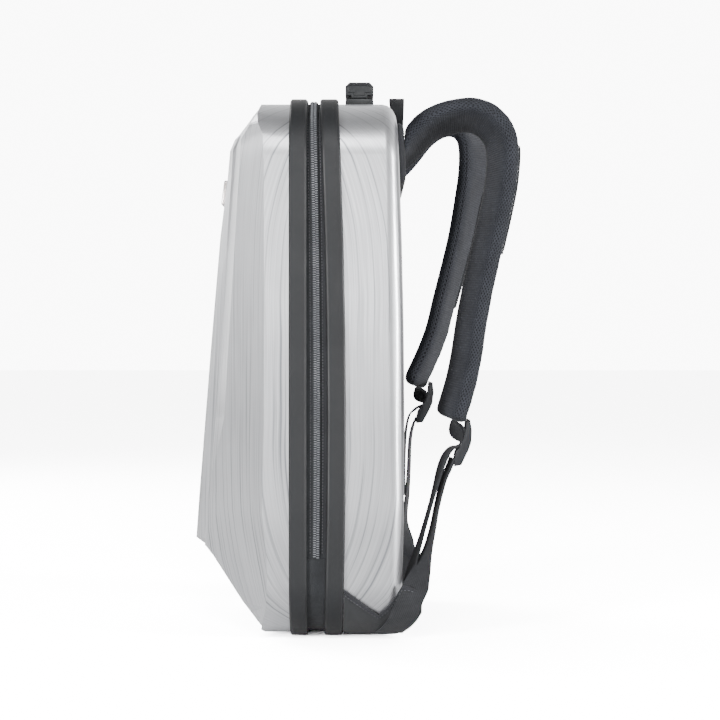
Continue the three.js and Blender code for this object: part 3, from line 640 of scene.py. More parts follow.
@dataclass(frozen=True)
class SilverFilm:
    """Brushed silver film over a moulded shell."""

    name: str
    rim: float
    colour: Colour = srgb(206, 207, 210)
    dark: Colour = srgb(132, 134, 139)
    half_width: float = 150.4 * MM
    middle: float = 235 * MM
    reach: float = 200 * MM
    roughness: float = 0.34
    metallic: float = 0.85

    def make(self, effects: Effects) -> bpy.types.Material:
        """The film as a material.

        Args:
            effects: the shared groups.

        Returns:
            The material.
        """
        material, graph, shader = start_material(self.name)
        place = graph.add("ShaderNodeTexCoord").outputs["Object"]
        lines = graph.add("ShaderNodeGroup", node_tree=effects.brushed)
        graph.feed(lines.inputs["Place"], place)
        lines.inputs["Rim"].default_value = self.rim
        lines.inputs["Half Width"].default_value = self.half_width
        lines.inputs["Middle"].default_value = self.middle
        lines.inputs["Reach"].default_value = self.reach
        fine, hair, cloud = (lines.outputs[label] for label in ("Fine", "Hair", "Cloud"))
        faint = graph.ranged(fine, 0.35, 0.7, 0.0, 0.35)
        marked = graph.math("ADD", faint, graph.math("MULTIPLY", hair, 0.95))
        clouded = graph.math("ADD", marked, graph.ranged(cloud, 0.35, 0.65, -0.06, 0.1))
        graph.feed(
            shader.inputs["Base Color"],
            graph.mixed(graph.ranged(clouded, 0.0, 1.0), self.colour, self.dark),
        )
        rough = graph.ranged(fine, 0.3, 0.7, self.roughness - 0.05, self.roughness + 0.07)
        graph.feed(shader.inputs["Roughness"], rough)
        shader.inputs["Metallic"].default_value = self.metallic
        shader.inputs["Coat Weight"].default_value = 0.25
        shader.inputs["Coat Roughness"].default_value = 0.12
        height = graph.math("SUBTRACT", fine, graph.math("MULTIPLY", hair, 0.6))
        graph.feed(shader.inputs["Normal"], graph.bumped(height, 0.12, 0.00006))
        return material


@dataclass(frozen=True)
class Moulded:
    """Moulded plastic with a fine grain."""

    name: str
    colour: Colour
    rubbed: Colour
    roughness: float = 0.5
    grain: float = 0.25

    def make(self, effects: Effects) -> bpy.types.Material:
        """The plastic as a material.

        Args:
            effects: the shared groups.

        Returns:
            The material.
        """
        material, graph, shader = start_material(self.name)
        place = graph.add("ShaderNodeTexCoord").outputs["Object"]
        grain = graph.add("ShaderNodeGroup", node_tree=effects.grain)
        graph.feed(grain.inputs["Place"], place)
        rubbed = grain.outputs["Rubbed"]
        share = graph.math("MULTIPLY", rubbed, 0.6)
        graph.feed(shader.inputs["Base Color"], graph.mixed(share, self.colour, self.rubbed))
        rough = graph.ranged(rubbed, 0.0, 1.0, self.roughness + 0.04, self.roughness - 0.07)
        graph.feed(shader.inputs["Roughness"], rough)
        shader.inputs["Specular IOR Level"].default_value = 0.32
        graph.feed(
            shader.inputs["Normal"], graph.bumped(grain.outputs["Height"], self.grain, 0.00008)
        )
        return material


@dataclass(frozen=True)
class Woven:
    """Woven cloth, tape or webbing."""

    name: str
    colour: Colour
    light: Colour
    across: float
    along: float
    on_uv: bool = True
    depth: float = 0.00025
    sheen: float = 0.05

    def make(self, effects: Effects) -> bpy.types.Material:
        """The weave as a material.

        Args:
            effects: the shared groups.

        Returns:
            The material.
        """
        material, graph, shader = start_material(self.name)
        source = graph.add("ShaderNodeTexCoord")
        if self.on_uv:
            place = source.outputs["UV"]
        else:
            across, depth, height = graph.split(source.outputs["Object"])
            place = graph.vector(depth, graph.math("ADD", across, height), 0.0)
        weave = graph.add("ShaderNodeGroup", node_tree=effects.weave)
        graph.feed(weave.inputs["Place"], place)
        weave.inputs["Across"].default_value = math.pi / self.across
        weave.inputs["Along"].default_value = math.pi / self.along
        height = weave.outputs["Height"]
        shade = graph.math("MULTIPLY", weave.outputs["Shade"], 0.35)
        share = graph.math("ADD", graph.ranged(height, 0.2, 1.0, 0.0, 0.65), shade)
        graph.feed(
            shader.inputs["Base Color"],
            graph.mixed(graph.ranged(share, 0.0, 1.0), self.colour, self.light),
        )
        graph.feed(shader.inputs["Roughness"], graph.ranged(height, 0.0, 1.0, 0.95, 0.72))
        shader.inputs["Sheen Weight"].default_value = self.sheen
        shader.inputs["Sheen Roughness"].default_value = 0.5
        shader.inputs["Specular IOR Level"].default_value = 0.25
        graph.feed(shader.inputs["Normal"], graph.bumped(height, 0.6, self.depth))
        return material


@dataclass(frozen=True)
class SpacerMesh:
    """Padded spacer mesh."""

    name: str
    colour: Colour
    hole: Colour
    pitch: float = 2.6 * MM

    def make(self, effects: Effects) -> bpy.types.Material:
        """The mesh cloth as a material.

        Args:
            effects: the shared groups.

        Returns:
            The material.
        """
        material, graph, shader = start_material(self.name)
        place = graph.add("ShaderNodeTexCoord").outputs["UV"]
        mesh = graph.add("ShaderNodeGroup", node_tree=effects.spacer)
        graph.feed(mesh.inputs["Place"], place)
        mesh.inputs["Pitch"].default_value = self.pitch
        slow = graph.ranged(graph.noise(place, 40.0, 3.0), 0.35, 0.65, 0.0, 0.3)
        share = graph.math("ADD", mesh.outputs["Hole"], slow)
        graph.feed(
            shader.inputs["Base Color"],
            graph.mixed(graph.ranged(share, 0.0, 1.0), self.colour, self.hole),
        )
        graph.feed(
            shader.inputs["Roughness"], graph.ranged(mesh.outputs["Height"], 0.0, 1.0, 0.98, 0.75)
        )
        shader.inputs["Sheen Weight"].default_value = 0.06
        shader.inputs["Sheen Roughness"].default_value = 0.45
        shader.inputs["Specular IOR Level"].default_value = 0.2
        graph.feed(shader.inputs["Normal"], graph.bumped(mesh.outputs["Height"], 0.8, 0.0006))
        return material


@dataclass(frozen=True)
class BareMetal:
    """Polished or satin metal with faint scratches."""

    name: str
    colour: Colour
    roughness: float = 0.25

    def make(self, effects: Effects) -> bpy.types.Material:
        """The metal as a material.

        Args:
            effects: the shared groups.

        Returns:
            The material.
        """
        material, graph, shader = start_material(self.name)
        place = graph.add("ShaderNodeTexCoord").outputs["Object"]
        grain = graph.add("ShaderNodeGroup", node_tree=effects.grain)
        graph.feed(grain.inputs["Place"], place)
        rubbed = grain.outputs["Rubbed"]
        darker = tuple(channel * 0.8 for channel in self.colour[:3]) + (1.0,)
        graph.feed(shader.inputs["Base Color"], graph.mixed(rubbed, self.colour, darker))
        rough = graph.ranged(rubbed, 0.0, 1.0, self.roughness, self.roughness + 0.12)
        graph.feed(shader.inputs["Roughness"], rough)
        shader.inputs["Metallic"].default_value = 0.9
        graph.feed(shader.inputs["Normal"], graph.bumped(grain.outputs["Height"], 0.05, 0.00004))
        return material


class Finishes:
    """Every finish of the bag, made once."""

    def __init__(self, effects: Effects) -> None:
        """Makes the materials.

        Args:
            effects: the shared groups.
        """
        self.silver_front = SilverFilm("silver_film_front", rim=-6 * MM).make(effects)
        self.silver_rear = SilverFilm("silver_film_rear", rim=30 * MM).make(effects)
        self.bumper = Moulded("bumper_plastic", srgb(28, 29, 31), srgb(34, 35, 37), 0.5).make(effects)
        self.grip = Moulded("grip_plastic", srgb(26, 28, 30), srgb(34, 36, 38), 0.45).make(effects)
        self.buckle = Moulded("buckle_plastic", srgb(34, 35, 38), srgb(46, 47, 50), 0.3).make(effects)
        self.teeth = Moulded("zip_teeth", srgb(92, 94, 98), srgb(126, 128, 132), 0.26, 0.1).make(effects)
        self.tape = Woven(
            "zip_tape_weave",
            srgb(28, 29, 31),
            srgb(46, 48, 51),
            across=0.9 * MM,
            along=0.9 * MM,
            on_uv=False,
        ).make(effects)
        self.webbing = Woven(
            "strap_webbing", srgb(24, 25, 27), srgb(50, 51, 54), across=1.7 * MM, along=1.3 * MM
        ).make(effects)
        self.binding = Woven(
            "edge_binding", srgb(28, 29, 32), srgb(50, 51, 55), across=0.8 * MM, along=0.8 * MM
        ).make(effects)
        self.wing = Woven(
            "wing_cloth", srgb(36, 37, 39), srgb(54, 55, 57), across=0.7 * MM, along=0.7 * MM
        ).make(effects)
        self.yoke = Woven(
            "yoke_cloth",
            srgb(30, 31, 34),
            srgb(48, 49, 53),
            across=0.8 * MM,
            along=0.8 * MM,
            on_uv=False,
        ).make(effects)
        self.piping = Woven(
            "pale_piping", srgb(150, 150, 152), srgb(205, 205, 208), across=0.6 * MM, along=0.6 * MM
        ).make(effects)
        self.thread = Moulded("sewing_thread", srgb(58, 59, 62), srgb(80, 81, 84), 0.7).make(effects)
        self.mesh = SpacerMesh("spacer_mesh_cloth", srgb(43, 45, 51), srgb(12, 13, 16)).make(effects)
        self.plate = BareMetal("plate_metal", srgb(226, 218, 216), 0.22).make(effects)
        self.slider = BareMetal("slider_metal", srgb(96, 98, 102), 0.3).make(effects)


# The case


@dataclass
class CaseOutline:
    """The case's outline in the XZ plane, as the solids have it."""

    half: float = 155 * MM
    top: float = 470 * MM
    bottom: float = 0.0
    radius: float = 55 * MM
    lean_height: float = 113 * MM
    lean_in: float = 7.9 * MM
    rear_bow: float = 6.75 * MM
    bow_height: float = 190 * MM
    bow_reach: float = 275.4 * MM

    def inset(self, amount: float) -> "CaseOutline":
        """The same outline moved in all round."""
        return CaseOutline(
            self.half - amount, self.top - amount, self.bottom + amount, self.radius - amount
        )

    def bow(self, height: float) -> float:
        """How far the rear half draws forward at a height."""
        return -self.rear_bow * ((height - self.bow_height) / self.bow_reach) ** 2

    def corner_foot(self) -> tuple[float, float]:
        """Centre of the bottom corner's arc."""
        lean = math.atan(self.lean_in / self.lean_height)
        low = self.bottom + self.radius
        across = self.half + ((low - self.lean_height) * math.sin(lean) - self.radius) / math.cos(lean)
        return across, low

    def right_side(self, step: float) -> list[tuple[float, float, float]]:
        """Points up the right side, from the bottom centre to the top centre.

        Args:
            step: greatest distance between the points.

        Returns:
            Each point's place across and up, and the angle that faces out.
        """
        lean = math.atan(self.lean_in / self.lean_height)
        across, low = self.corner_foot()
        high = self.top - self.radius
        inner = self.half - self.radius
        arc = max(6, round(self.radius * math.pi / 2 / step))
        foot_steps = max(2, round(across / step))
        stops = [(across * i / foot_steps, self.bottom, -math.pi / 2) for i in range(foot_steps)]
        for i in range(arc + 1):
            turn = mix(-math.pi / 2, -lean, i / arc)
            stops.append(
                (across + self.radius * math.cos(turn), low + self.radius * math.sin(turn), turn)
            )
        start = stops[-1]
        rise = high - start[1]
        steps = max(2, round(rise / step))
        for i in range(1, steps):
            height = mix(start[1], high, i / steps)
            below = max(0.0, self.lean_height - height)
            stops.append((self.half - below * math.tan(lean), height, -lean if below > 0 else 0.0))
        for i in range(arc + 1):
            turn = i / arc * math.pi / 2
            stops.append(
                (inner + self.radius * math.cos(turn), high + self.radius * math.sin(turn), turn)
            )
        top_steps = max(2, round(inner / step))
        for i in range(1, top_steps + 1):
            stops.append((inner * (1 - i / top_steps), self.top, math.pi / 2))
        return stops

    def over_top(self, step: float, from_height: float) -> list[tuple[Vector, Vector]]:
        """The way up the right side, over the top and down the left side.

        Args:
            step: distance between the points.
            from_height: where it starts and ends.

        Returns:
            Each point, at no depth, with the direction that faces out.
        """
        right = [stop for stop in self.right_side(step) if stop[1] >= from_height]
        path = []
        for sign, stops in ((1, right), (-1, list(reversed(right))[1:])):
            for across, height, turn in stops:
                out = Vector((sign * math.cos(turn), 0, math.sin(turn)))
                path.append((Vector((sign * across, 0, height)), out))
        return path


@dataclass
class Shells:
    """The two hard shells and their bumper rings."""

    finishes: Finishes
    crease: float = 2.6 * MM
    crease_degrees: float = 14.0
    bumper_round: float = 1.1 * MM

    def shell(self, node: str, material: bpy.types.Material) -> bpy.types.Object:
        """A shell with its creases rounded.

        Args:
            node: the CAD node.
            material: its finish.

        Returns:
            The piece.
        """
        piece = node_copy(node, f"{node}_film")
        if node == "front_shell":
            apply_modifier(
                piece,
                "BEVEL",
                width=self.crease,
                segments=4,
                limit_method="ANGLE",
                angle_limit=math.radians(self.crease_degrees),
                use_clamp_overlap=True,
            )
        smooth(piece, 35)
        apply_modifier(piece, "WEIGHTED_NORMAL", mode="FACE_AREA", weight=80, keep_sharp=True)
        return settle(piece, material, "shell", node)

    def bumper(self, node: str) -> bpy.types.Object:
        """A bumper ring with soft edges."""
        piece = node_copy(node, f"{node}_ring", 0.2)
        apply_modifier(
            piece,
            "BEVEL",
            width=self.bumper_round,
            segments=3,
            limit_method="ANGLE",
            angle_limit=math.radians(25),
        )
        smooth(piece, 40)
        apply_modifier(piece, "WEIGHTED_NORMAL", mode="FACE_AREA", weight=60, keep_sharp=True)
        return settle(piece, self.finishes.bumper, "bumper", node)

    def plate(self) -> bpy.types.Object:
        """The bare plate on the front."""
        piece = node_copy("front_badge", "front_plate")
        apply_modifier(piece, "BEVEL", width=0.5 * MM, segments=3, limit_method="ANGLE")
        smooth(piece, 40)
        return settle(piece, self.finishes.plate, "plate", "front_badge")

    def build(self) -> None:
        """Builds both halves."""
        self.shell("front_shell", self.finishes.silver_front)
        self.shell("rear_shell", self.finishes.silver_rear)
        self.bumper("front_bumper")
        self.bumper("rear_bumper")
        self.plate()


@dataclass
class Zip:
    """The zip between the bumpers: coil, tapes, hinge strip and sliders."""

    finishes: Finishes
    outline: CaseOutline
    pitch: float = 2.0 * MM
    tooth_row: float = 1.35 * MM
    tape_depth: float = 4.3 * MM
    coil_foot: float = 72.3 * MM
    front_half: float = 7.5 * MM
    zip_gap: float = 17.6 * MM

    def middle(self, height: float) -> float:
        """Depth of the coil's middle at a height."""
        return self.front_half + (self.zip_gap + self.outline.bow(height)) / 2

    def tooth(self) -> bpy.types.Object:
        """One tooth, a small rounded loop seen from above."""
        only_none()
        bpy.ops.mesh.primitive_cube_add(size=1)
        tooth = bpy.context.object
        for vertex in tooth.data.vertices:
            spot = vertex.co
            narrow = 0.72 if spot.z > 0 else 1.0
            vertex.co = (spot.x * 1.25 * MM * narrow, spot.y * 2.9 * MM * narrow, spot.z * 1.5 * MM)
        apply_modifier(tooth, "BEVEL", width=0.22 * MM, segments=1)
        return tooth

    def coil(self) -> bpy.types.Object:
        """Both rows of teeth on their cords."""
        line = self.outline.inset(self.tape_depth).over_top(self.pitch / 2, self.coil_foot)
        places = []
        for index in range(1, len(line) - 1):
            spot, out = line[index]
            row = self.tooth_row if index % 2 else -self.tooth_row
            along = line[index + 1][0] - line[index - 1][0]
            centre = Vector((spot.x, self.middle(spot.z) + row, spot.z)) + out * 1.2 * MM
            places.append(turned_to(centre, along, out))
        teeth = placed_copies("zip_teeth_rows", self.tooth(), places)
        rings = []
        path = self.outline.inset(self.tape_depth).over_top(6 * MM, self.coil_foot)
        for spot, out in path:
            centre = Vector((spot.x, self.middle(spot.z), spot.z))
            ring = []
            for across, up in ((-3.5, 0), (-3.5, 0.7), (-2.9, 1.2), (2.9, 1.2), (3.5, 0.7), (3.5, 0)):
                ring.append(centre + Vector((0, across * MM, 0)) + out * up * MM)
            rings.append(ring)
        cord = lofted("zip_cord", rings)
        smooth(cord, 30)
        settle(cord, self.finishes.tape, "coil")
        smooth(teeth, 30)
        return settle(teeth, self.finishes.teeth, "coil", "zip_coil")

    def seams(self) -> None:
        """A seam on each tape beside the coil."""
        path = self.outline.inset(self.tape_depth + 0.25 * MM).over_top(5 * MM, self.coil_foot)
        for word, shift in (("front", -5.2 * MM), ("rear", 5.2 * MM)):
            spots = [Vector((s.x, self.middle(s.z) + shift, s.z)) for s, _ in path]
            seam = stitched(f"zip_seam_{word}", spots, [out for _, out in path], 2.6 * MM)
            settle(seam, self.finishes.thread, "tape")

    def slider(self, node: str) -> bpy.types.Object:
        """A slider with softened edges."""
        piece = node_copy(node, f"{node}_body")
        apply_modifier(piece, "BEVEL", width=0.4 * MM, segments=2, limit_method="ANGLE")
        smooth(piece, 35)
        return settle(piece, self.finishes.slider, "slider", node)

    def build(self) -> None:
        """Builds the zip and dresses the tapes."""
        self.coil()
        self.seams()
        self.slider("zip_slider_upper")
        self.slider("zip_slider_lower")
        for node in ("zip_tape_front", "zip_tape_rear", "hinge_strip"):
            dress_node(node, self.finishes.tape)


def dress_node(node: str, material: bpy.types.Material) -> None:
    """Gives a CAD node that stays a better material.

    Args:
        node: the node's name.
        material: its finish.
    """
    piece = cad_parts[node]
    piece.data.materials.clear()
    piece.data.materials.append(material)


@dataclass
class Handle:
    """The carrying handle and its mounts."""

    finishes: Finishes

    def grip(self) -> bpy.types.Object:
        """The grip, with a recess let into each end."""
        piece = node_copy("handle_grip", "handle_grip_bar")
        edit_select(piece, lambda face: abs(face.normal.x) > 0.9 and face.center.z > 0.4765)
        bpy.ops.mesh.inset(thickness=2.2 * MM, depth=0)
        bpy.ops.mesh.inset(thickness=0.5 * MM, depth=-0.9 * MM)
        bpy.ops.object.mode_set(mode="OBJECT")
        apply_modifier(
            piece,
            "BEVEL",
            width=0.7 * MM,
            segments=3,
            limit_method="ANGLE",
            angle_limit=math.radians(25),
        )
        smooth(piece, 35)
        return settle(piece, self.finishes.grip, "grip", "handle_grip")

    def mount(self, side: Side) -> bpy.types.Object:
        """One mount, with softened edges."""
        node = f"handle_mount_{side.word}"
        piece = node_copy(node, f"{node}_block")
        apply_modifier(piece, "BEVEL", width=0.8 * MM, segments=3, limit_method="ANGLE")
        smooth(piece, 35)
        return settle(piece, self.finishes.grip, "grip", node)

    def build(self) -> None:
        """Builds the grip and both mounts."""
        self.grip()
        self.mount(Side.RIGHT)
        self.mount(Side.LEFT)


# Straps


@dataclass(frozen=True)
class Stop:
    """One row of a strap's route: shares of its reach, drop and spread, and the way it faces."""

    out: float
    down: float
    spread: float
    lie: float


PAD_ROUTES: dict[Side, tuple[Stop, ...]] = {
    Side.RIGHT: (
        Stop(0.018, 0, 0, 92.4),
        Stop(0.119, -0.064, 0.02, 130),
        Stop(0.246, -0.115, 0.05, 119),
        Stop(0.42, -0.142, 0.1, 100),
        Stop(0.576, -0.148, 0.17, 85),
        Stop(0.69, -0.132, 0.24, 61),
        Stop(0.772, -0.1, 0.31, 40),
        Stop(0.825, -0.059, 0.36, 22),
        Stop(0.845, -0.008, 0.4, 6),
        Stop(0.842, 0.051, 0.43, -2),
        Stop(0.817, 0.144, 0.48, -8),
        Stop(0.755, 0.271, 0.57, -13),
        Stop(0.69, 0.39, 0.64, -14),
        Stop(0.622, 0.522, 0.74, -13),
        Stop(0.572, 0.636, 0.81, -11),
        Stop(0.524, 0.771, 0.88, -11),
        Stop(0.482, 0.858, 0.93, -13),
        Stop(0.443, 0.918, 0.98, -17),
        Stop(0.405, 0.972, 1, -20),
        Stop(0.39, 1, 1, -20),
    ),
    Side.LEFT: (
        Stop(0.018, 0, 0, 92.4),
        Stop(0.114, -0.068, 0.02, 131),
        Stop(0.235, -0.131, 0.05, 122),
        Stop(0.376, -0.17, 0.07, 105),
        Stop(0.505, -0.174, 0.1, 78),
        Stop(0.6, -0.143, 0.12, 47),
        Stop(0.65, -0.09, 0.14, 20),
        Stop(0.662, -0.03, 0.17, 2),
        Stop(0.655, 0.025, 0.2, -6),
        Stop(0.638, 0.083, 0.26, -9),
        Stop(0.567, 0.275, 0.48, -12),
        Stop(0.474, 0.449, 0.62, -14),
        Stop(0.418, 0.547, 0.69, -14),
        Stop(0.37, 0.64, 0.76, -15),
        Stop(0.315, 0.714, 0.81, -21),
        Stop(0.247, 0.786, 0.86, -25),
        Stop(0.186, 0.844, 0.88, -25),
        Stop(0.145, 0.89, 0.88, -22),
    ),
}


@dataclass(frozen=True)
class Section:
    """A strap's own directions at one place."""

    middle: Vector
    across: Vector
    out: Vector

    def at(self, over: float, up: float) -> Vector:
        """A point in the section."""
        return self.middle + self.across * over + self.out * up

    def towards(self, other: "Section", share: float) -> "Section":
        """The section a share of the way to another."""
        return Section(
            self.middle.lerp(other.middle, share),
            self.across.lerp(other.across, share).normalized(),
            self.out.lerp(other.out, share).normalized(),
        )


def sections_through(stops: Sequence[Section], steps: int) -> list[Section]:
    """Sections closely spaced on a smooth way through a few.

    Args:
        stops: the sections to pass through.
        steps: how many go between two of them.

    Returns:
        The sections.
    """

    def through(name: str, place: float) -> Vector:
        """One of the section's vectors at a place."""
        vectors = [getattr(stop, name) for stop in stops]
        return Vector([curve_through([vector[i] for vector in vectors], place) for i in range(3)])

    made = []
    for index in range((len(stops) - 1) * steps + 1):
        place = index / steps
        across = through("across", place).normalized()
        out = through("out", place)
        out = (out - across * out.dot(across)).normalized()
        made.append(Section(through("middle", place), across, out))
    return made


def section_at(side: Side, place: Point, lie: float, twist: float) -> Section:
    """The directions of a strap from the way it faces.

    Args:
        side: the wearer's side, which mirrors it.
        place: its middle, on the right side of the bag.
        lie: degrees from +Y towards +Z of its outer face.
        twist: degrees that it turns about its own length.

    Returns:
        The section.
    """
    over = Vector((1, 0, 0))
    out = Vector((0, math.cos(math.radians(lie)), math.sin(math.radians(lie))))
    cos, sin = math.cos(math.radians(twist)), math.sin(math.radians(twist))
    flip = Vector((side.value, 1, 1))
    return Section(
        Vector(place) * flip, (over * cos + out * sin) * flip, (out * cos - over * sin) * flip
    )


@dataclass
class ShoulderStrap:
    """One shoulder pad with its binding, sewn strip and piping."""

    side: Side
    finishes: Finishes
    root_across: float = 58 * MM
    end_across: float = 100 * MM
    root_height: float = 426 * MM
    back: float = 91.1 * MM
    reach: float = 105 * MM
    drop: float = 236 * MM
    twist: float = 14.0
    turned_place: float = 7.0
    turned_span: float = 2.4
    turned_more: float = 10.0
    turned_out: float = 3.5 * MM
    width: float = 62 * MM
    thick: float = 15 * MM
    edge_share: float = 0.5
    rows: int = 110
    end_rows: int = 4

    def sections(self) -> list[Section]:
        """The pad's sections, closely spaced along its route."""
        stops = PAD_ROUTES[self.side]
        made = []
        for index in range(self.rows + 1):
            place = index / self.rows * (len(stops) - 1)
            out, down, spread, lie = (
                curve_through([getattr(stop, name) for stop in stops], place)
                for name in ("out", "down", "spread", "lie")
            )
            hump = math.exp(-(((place - self.turned_place) / self.turned_span) ** 2))
            if self.side is Side.RIGHT:
                hump = 0.0
            spot = (
                mix(self.root_across, self.end_across, spread),
                self.back + out * self.reach + hump * self.turned_out,
                self.root_height - down * self.drop,
            )
            made.append(section_at(self.side, spot, lie, self.twist + hump * self.turned_more))
        return made

    def narrowing(self, row: float) -> float:
        """How wide the pad is at a row, as a share."""
        left = (self.rows - row) / self.rows
        return 1.0 if left > 0.05 else mix(0.7, 1.0, math.sin(left / 0.05 * math.pi / 2))

    def slices(self, sections: Sequence[Section]) -> list[tuple[Section, float, float]]:
        """The sections with their half width and thickness, closely spaced where the end rounds.

        Args:
            sections: the pad's sections.

        Returns:
            Each section with its half width and its share of the full thickness.
        """
        flat = self.rows - self.end_rows
        made = [(sections[row], self.width / 2 * self.narrowing(row), 1.0) for row in range(flat)]
        for step in range(8):
            turn = step / 7 * math.pi / 2
            place = flat + self.end_rows * math.sin(turn)
            low = min(int(place), self.rows - 1)
            section = sections[low].towards(sections[low + 1], place - low)
            thick = mix(0.1, 1.0, math.cos(turn))
            made.append((section, self.width / 2 * self.narrowing(place) - 2 * MM * (1 - thick), thick))
        return made

    def profile(self, share: float) -> float:
        """Half the pad's thickness at a share of its half width, thinner towards the bound edge."""
        crown = (1 - abs(share) ** 4) ** 0.5
        return self.thick / 2 * mix(self.edge_share, 1.0, crown)

    def pad(self, sections: Sequence[Section]) -> bpy.types.Object:
        """The padded body in its mesh cloth.

        Args:
            sections: the pad's sections.

        Returns:
            The piece.
        """
        shares = [math.sin(mix(-math.pi / 2, math.pi / 2, i / 14)) for i in range(15)]
        rings = []
        for index, (section, wide, thick) in enumerate(self.slices(sections)):
            wide -= 0.6 * MM
            swell = thick * (1 + 0.02 * math.sin(index * 0.9) + 0.015 * math.sin(index * 2.3 + 1))
            upper = [section.at(share * wide, self.profile(share) * swell) for share in shares]
            lower = [
                section.at(share * wide, -self.profile(share) * thick) for share in reversed(shares)
            ]
            rings.append(upper + lower)
        piece = lofted(f"shoulder_pad_{self.side.word}", rings)
        smooth(piece, 60)
        settle(piece, self.finishes.mesh, "mesh", f"strap_pad_{self.side.word}")
        return piece

    def binding(self, sections: Sequence[Section]) -> bpy.types.Object:
        """The tape folded round both edges of the pad.

        Args:
            sections: the pad's sections.

        Returns:
            The piece.
        """
        strips = []
        half = self.thick / 2 * self.edge_share
        for sign in (1, -1):
            rings = []
            for section, wide, thick in self.slices(sections):
                deep = half * thick
                ring = []
                for step in range(9):
                    turn = mix(-math.pi / 2, math.pi / 2, step / 8)
                    over = wide - 3.2 * MM + 3.6 * MM * math.cos(turn)
                    ring.append(section.at(sign * over, (deep + 0.7 * MM) * math.sin(turn)))
                ring.append(section.at(sign * (wide - 6.5 * MM), deep * 1.25 + 0.6 * MM))
                ring.append(section.at(sign * (wide - 6.5 * MM), -deep * 1.25 - 0.6 * MM))
                rings.append(ring)
            strips.append(lofted(f"binding_{sign}", rings))
        piece = joined(f"pad_binding_{self.side.word}", strips)
        smooth(piece, 50)
        return settle(piece, self.finishes.mesh, "mesh")

    def strip(self, sections: Sequence[Section]) -> None:
        """The sewn strip on the outer face, its pale piping and its stitches.

        Args:
            sections: the pad's sections.
        """
        stops = len(PAD_ROUTES[self.side]) - 1
        first, last = (round(self.rows * stop / stops) for stop in (8, 12))
        chosen = sections[first : last + 1]
        place = self.width / 2 - 4 * MM
        foot = self.profile(place / (self.width / 2)) - 0.3 * MM
        lift_top = 2.0 * MM
        inner = self.profile((place - 6 * MM) / (self.width / 2)) - 0.5 * MM
        rings = []
        for index, section in enumerate(chosen):
            ends = min(index, len(chosen) - 1 - index)
            lift = lift_top * (0.3 if ends == 0 else 1.0)
            ring = [section.at(place - 6.2 * MM, inner), section.at(place + 0.4 * MM, foot - 0.8 * MM)]
            ring.append(section.at(place + 0.6 * MM, foot + 0.5 * lift))
            ring.append(section.at(place - 0.2 * MM, foot + lift))
            ring.append(section.at(place - 5.6 * MM, inner + 0.8 * lift))
            rings.append(ring)
        strip = lofted(f"sewn_strip_{self.side.word}", rings)
        smooth(strip, 40)
        settle(strip, self.finishes.webbing, "webbing", f"strap_strip_{self.side.word}")
        outs = [section.out for section in chosen]
        path = [section.at(place - 3 * MM, mix(inner, foot, 0.5) + lift_top) for section in chosen]
        seam = stitched(f"strip_seam_{self.side.word}", path, outs)
        settle(seam, self.finishes.thread, "webbing")
        sides = [(section.out + section.across * 1.5).normalized() for section in chosen]
        path = [section.at(place + 1.6 * MM, foot - 0.9 * MM) for section in chosen]
        piping = stitched(f"pale_stitches_{self.side.word}", path, sides, 4.2 * MM)
        settle(piping, self.finishes.piping, "webbing")

    def build(self) -> None:
        """Builds the pad and all that is sewn on it."""
        sections = self.sections()
        self.pad(sections)
        self.binding(sections)
        self.strip(sections)


@dataclass(frozen=True)
class WingStop:
    """One row of the wing: its share of the way back, and where it starts and stops in degrees."""

    back: float
    top: float
    end: float


WING_ROWS = (
    WingStop(0, 5, 90),
    WingStop(0.21, 18, 90),
    WingStop(0.45, 33.5, 90),
    WingStop(0.6, 19.5, 88),
    WingStop(0.74, 1, 64),
    WingStop(0.84, 2, 55),
    WingStop(0.94, 6, 40),
    WingStop(1, 12, 29),
)


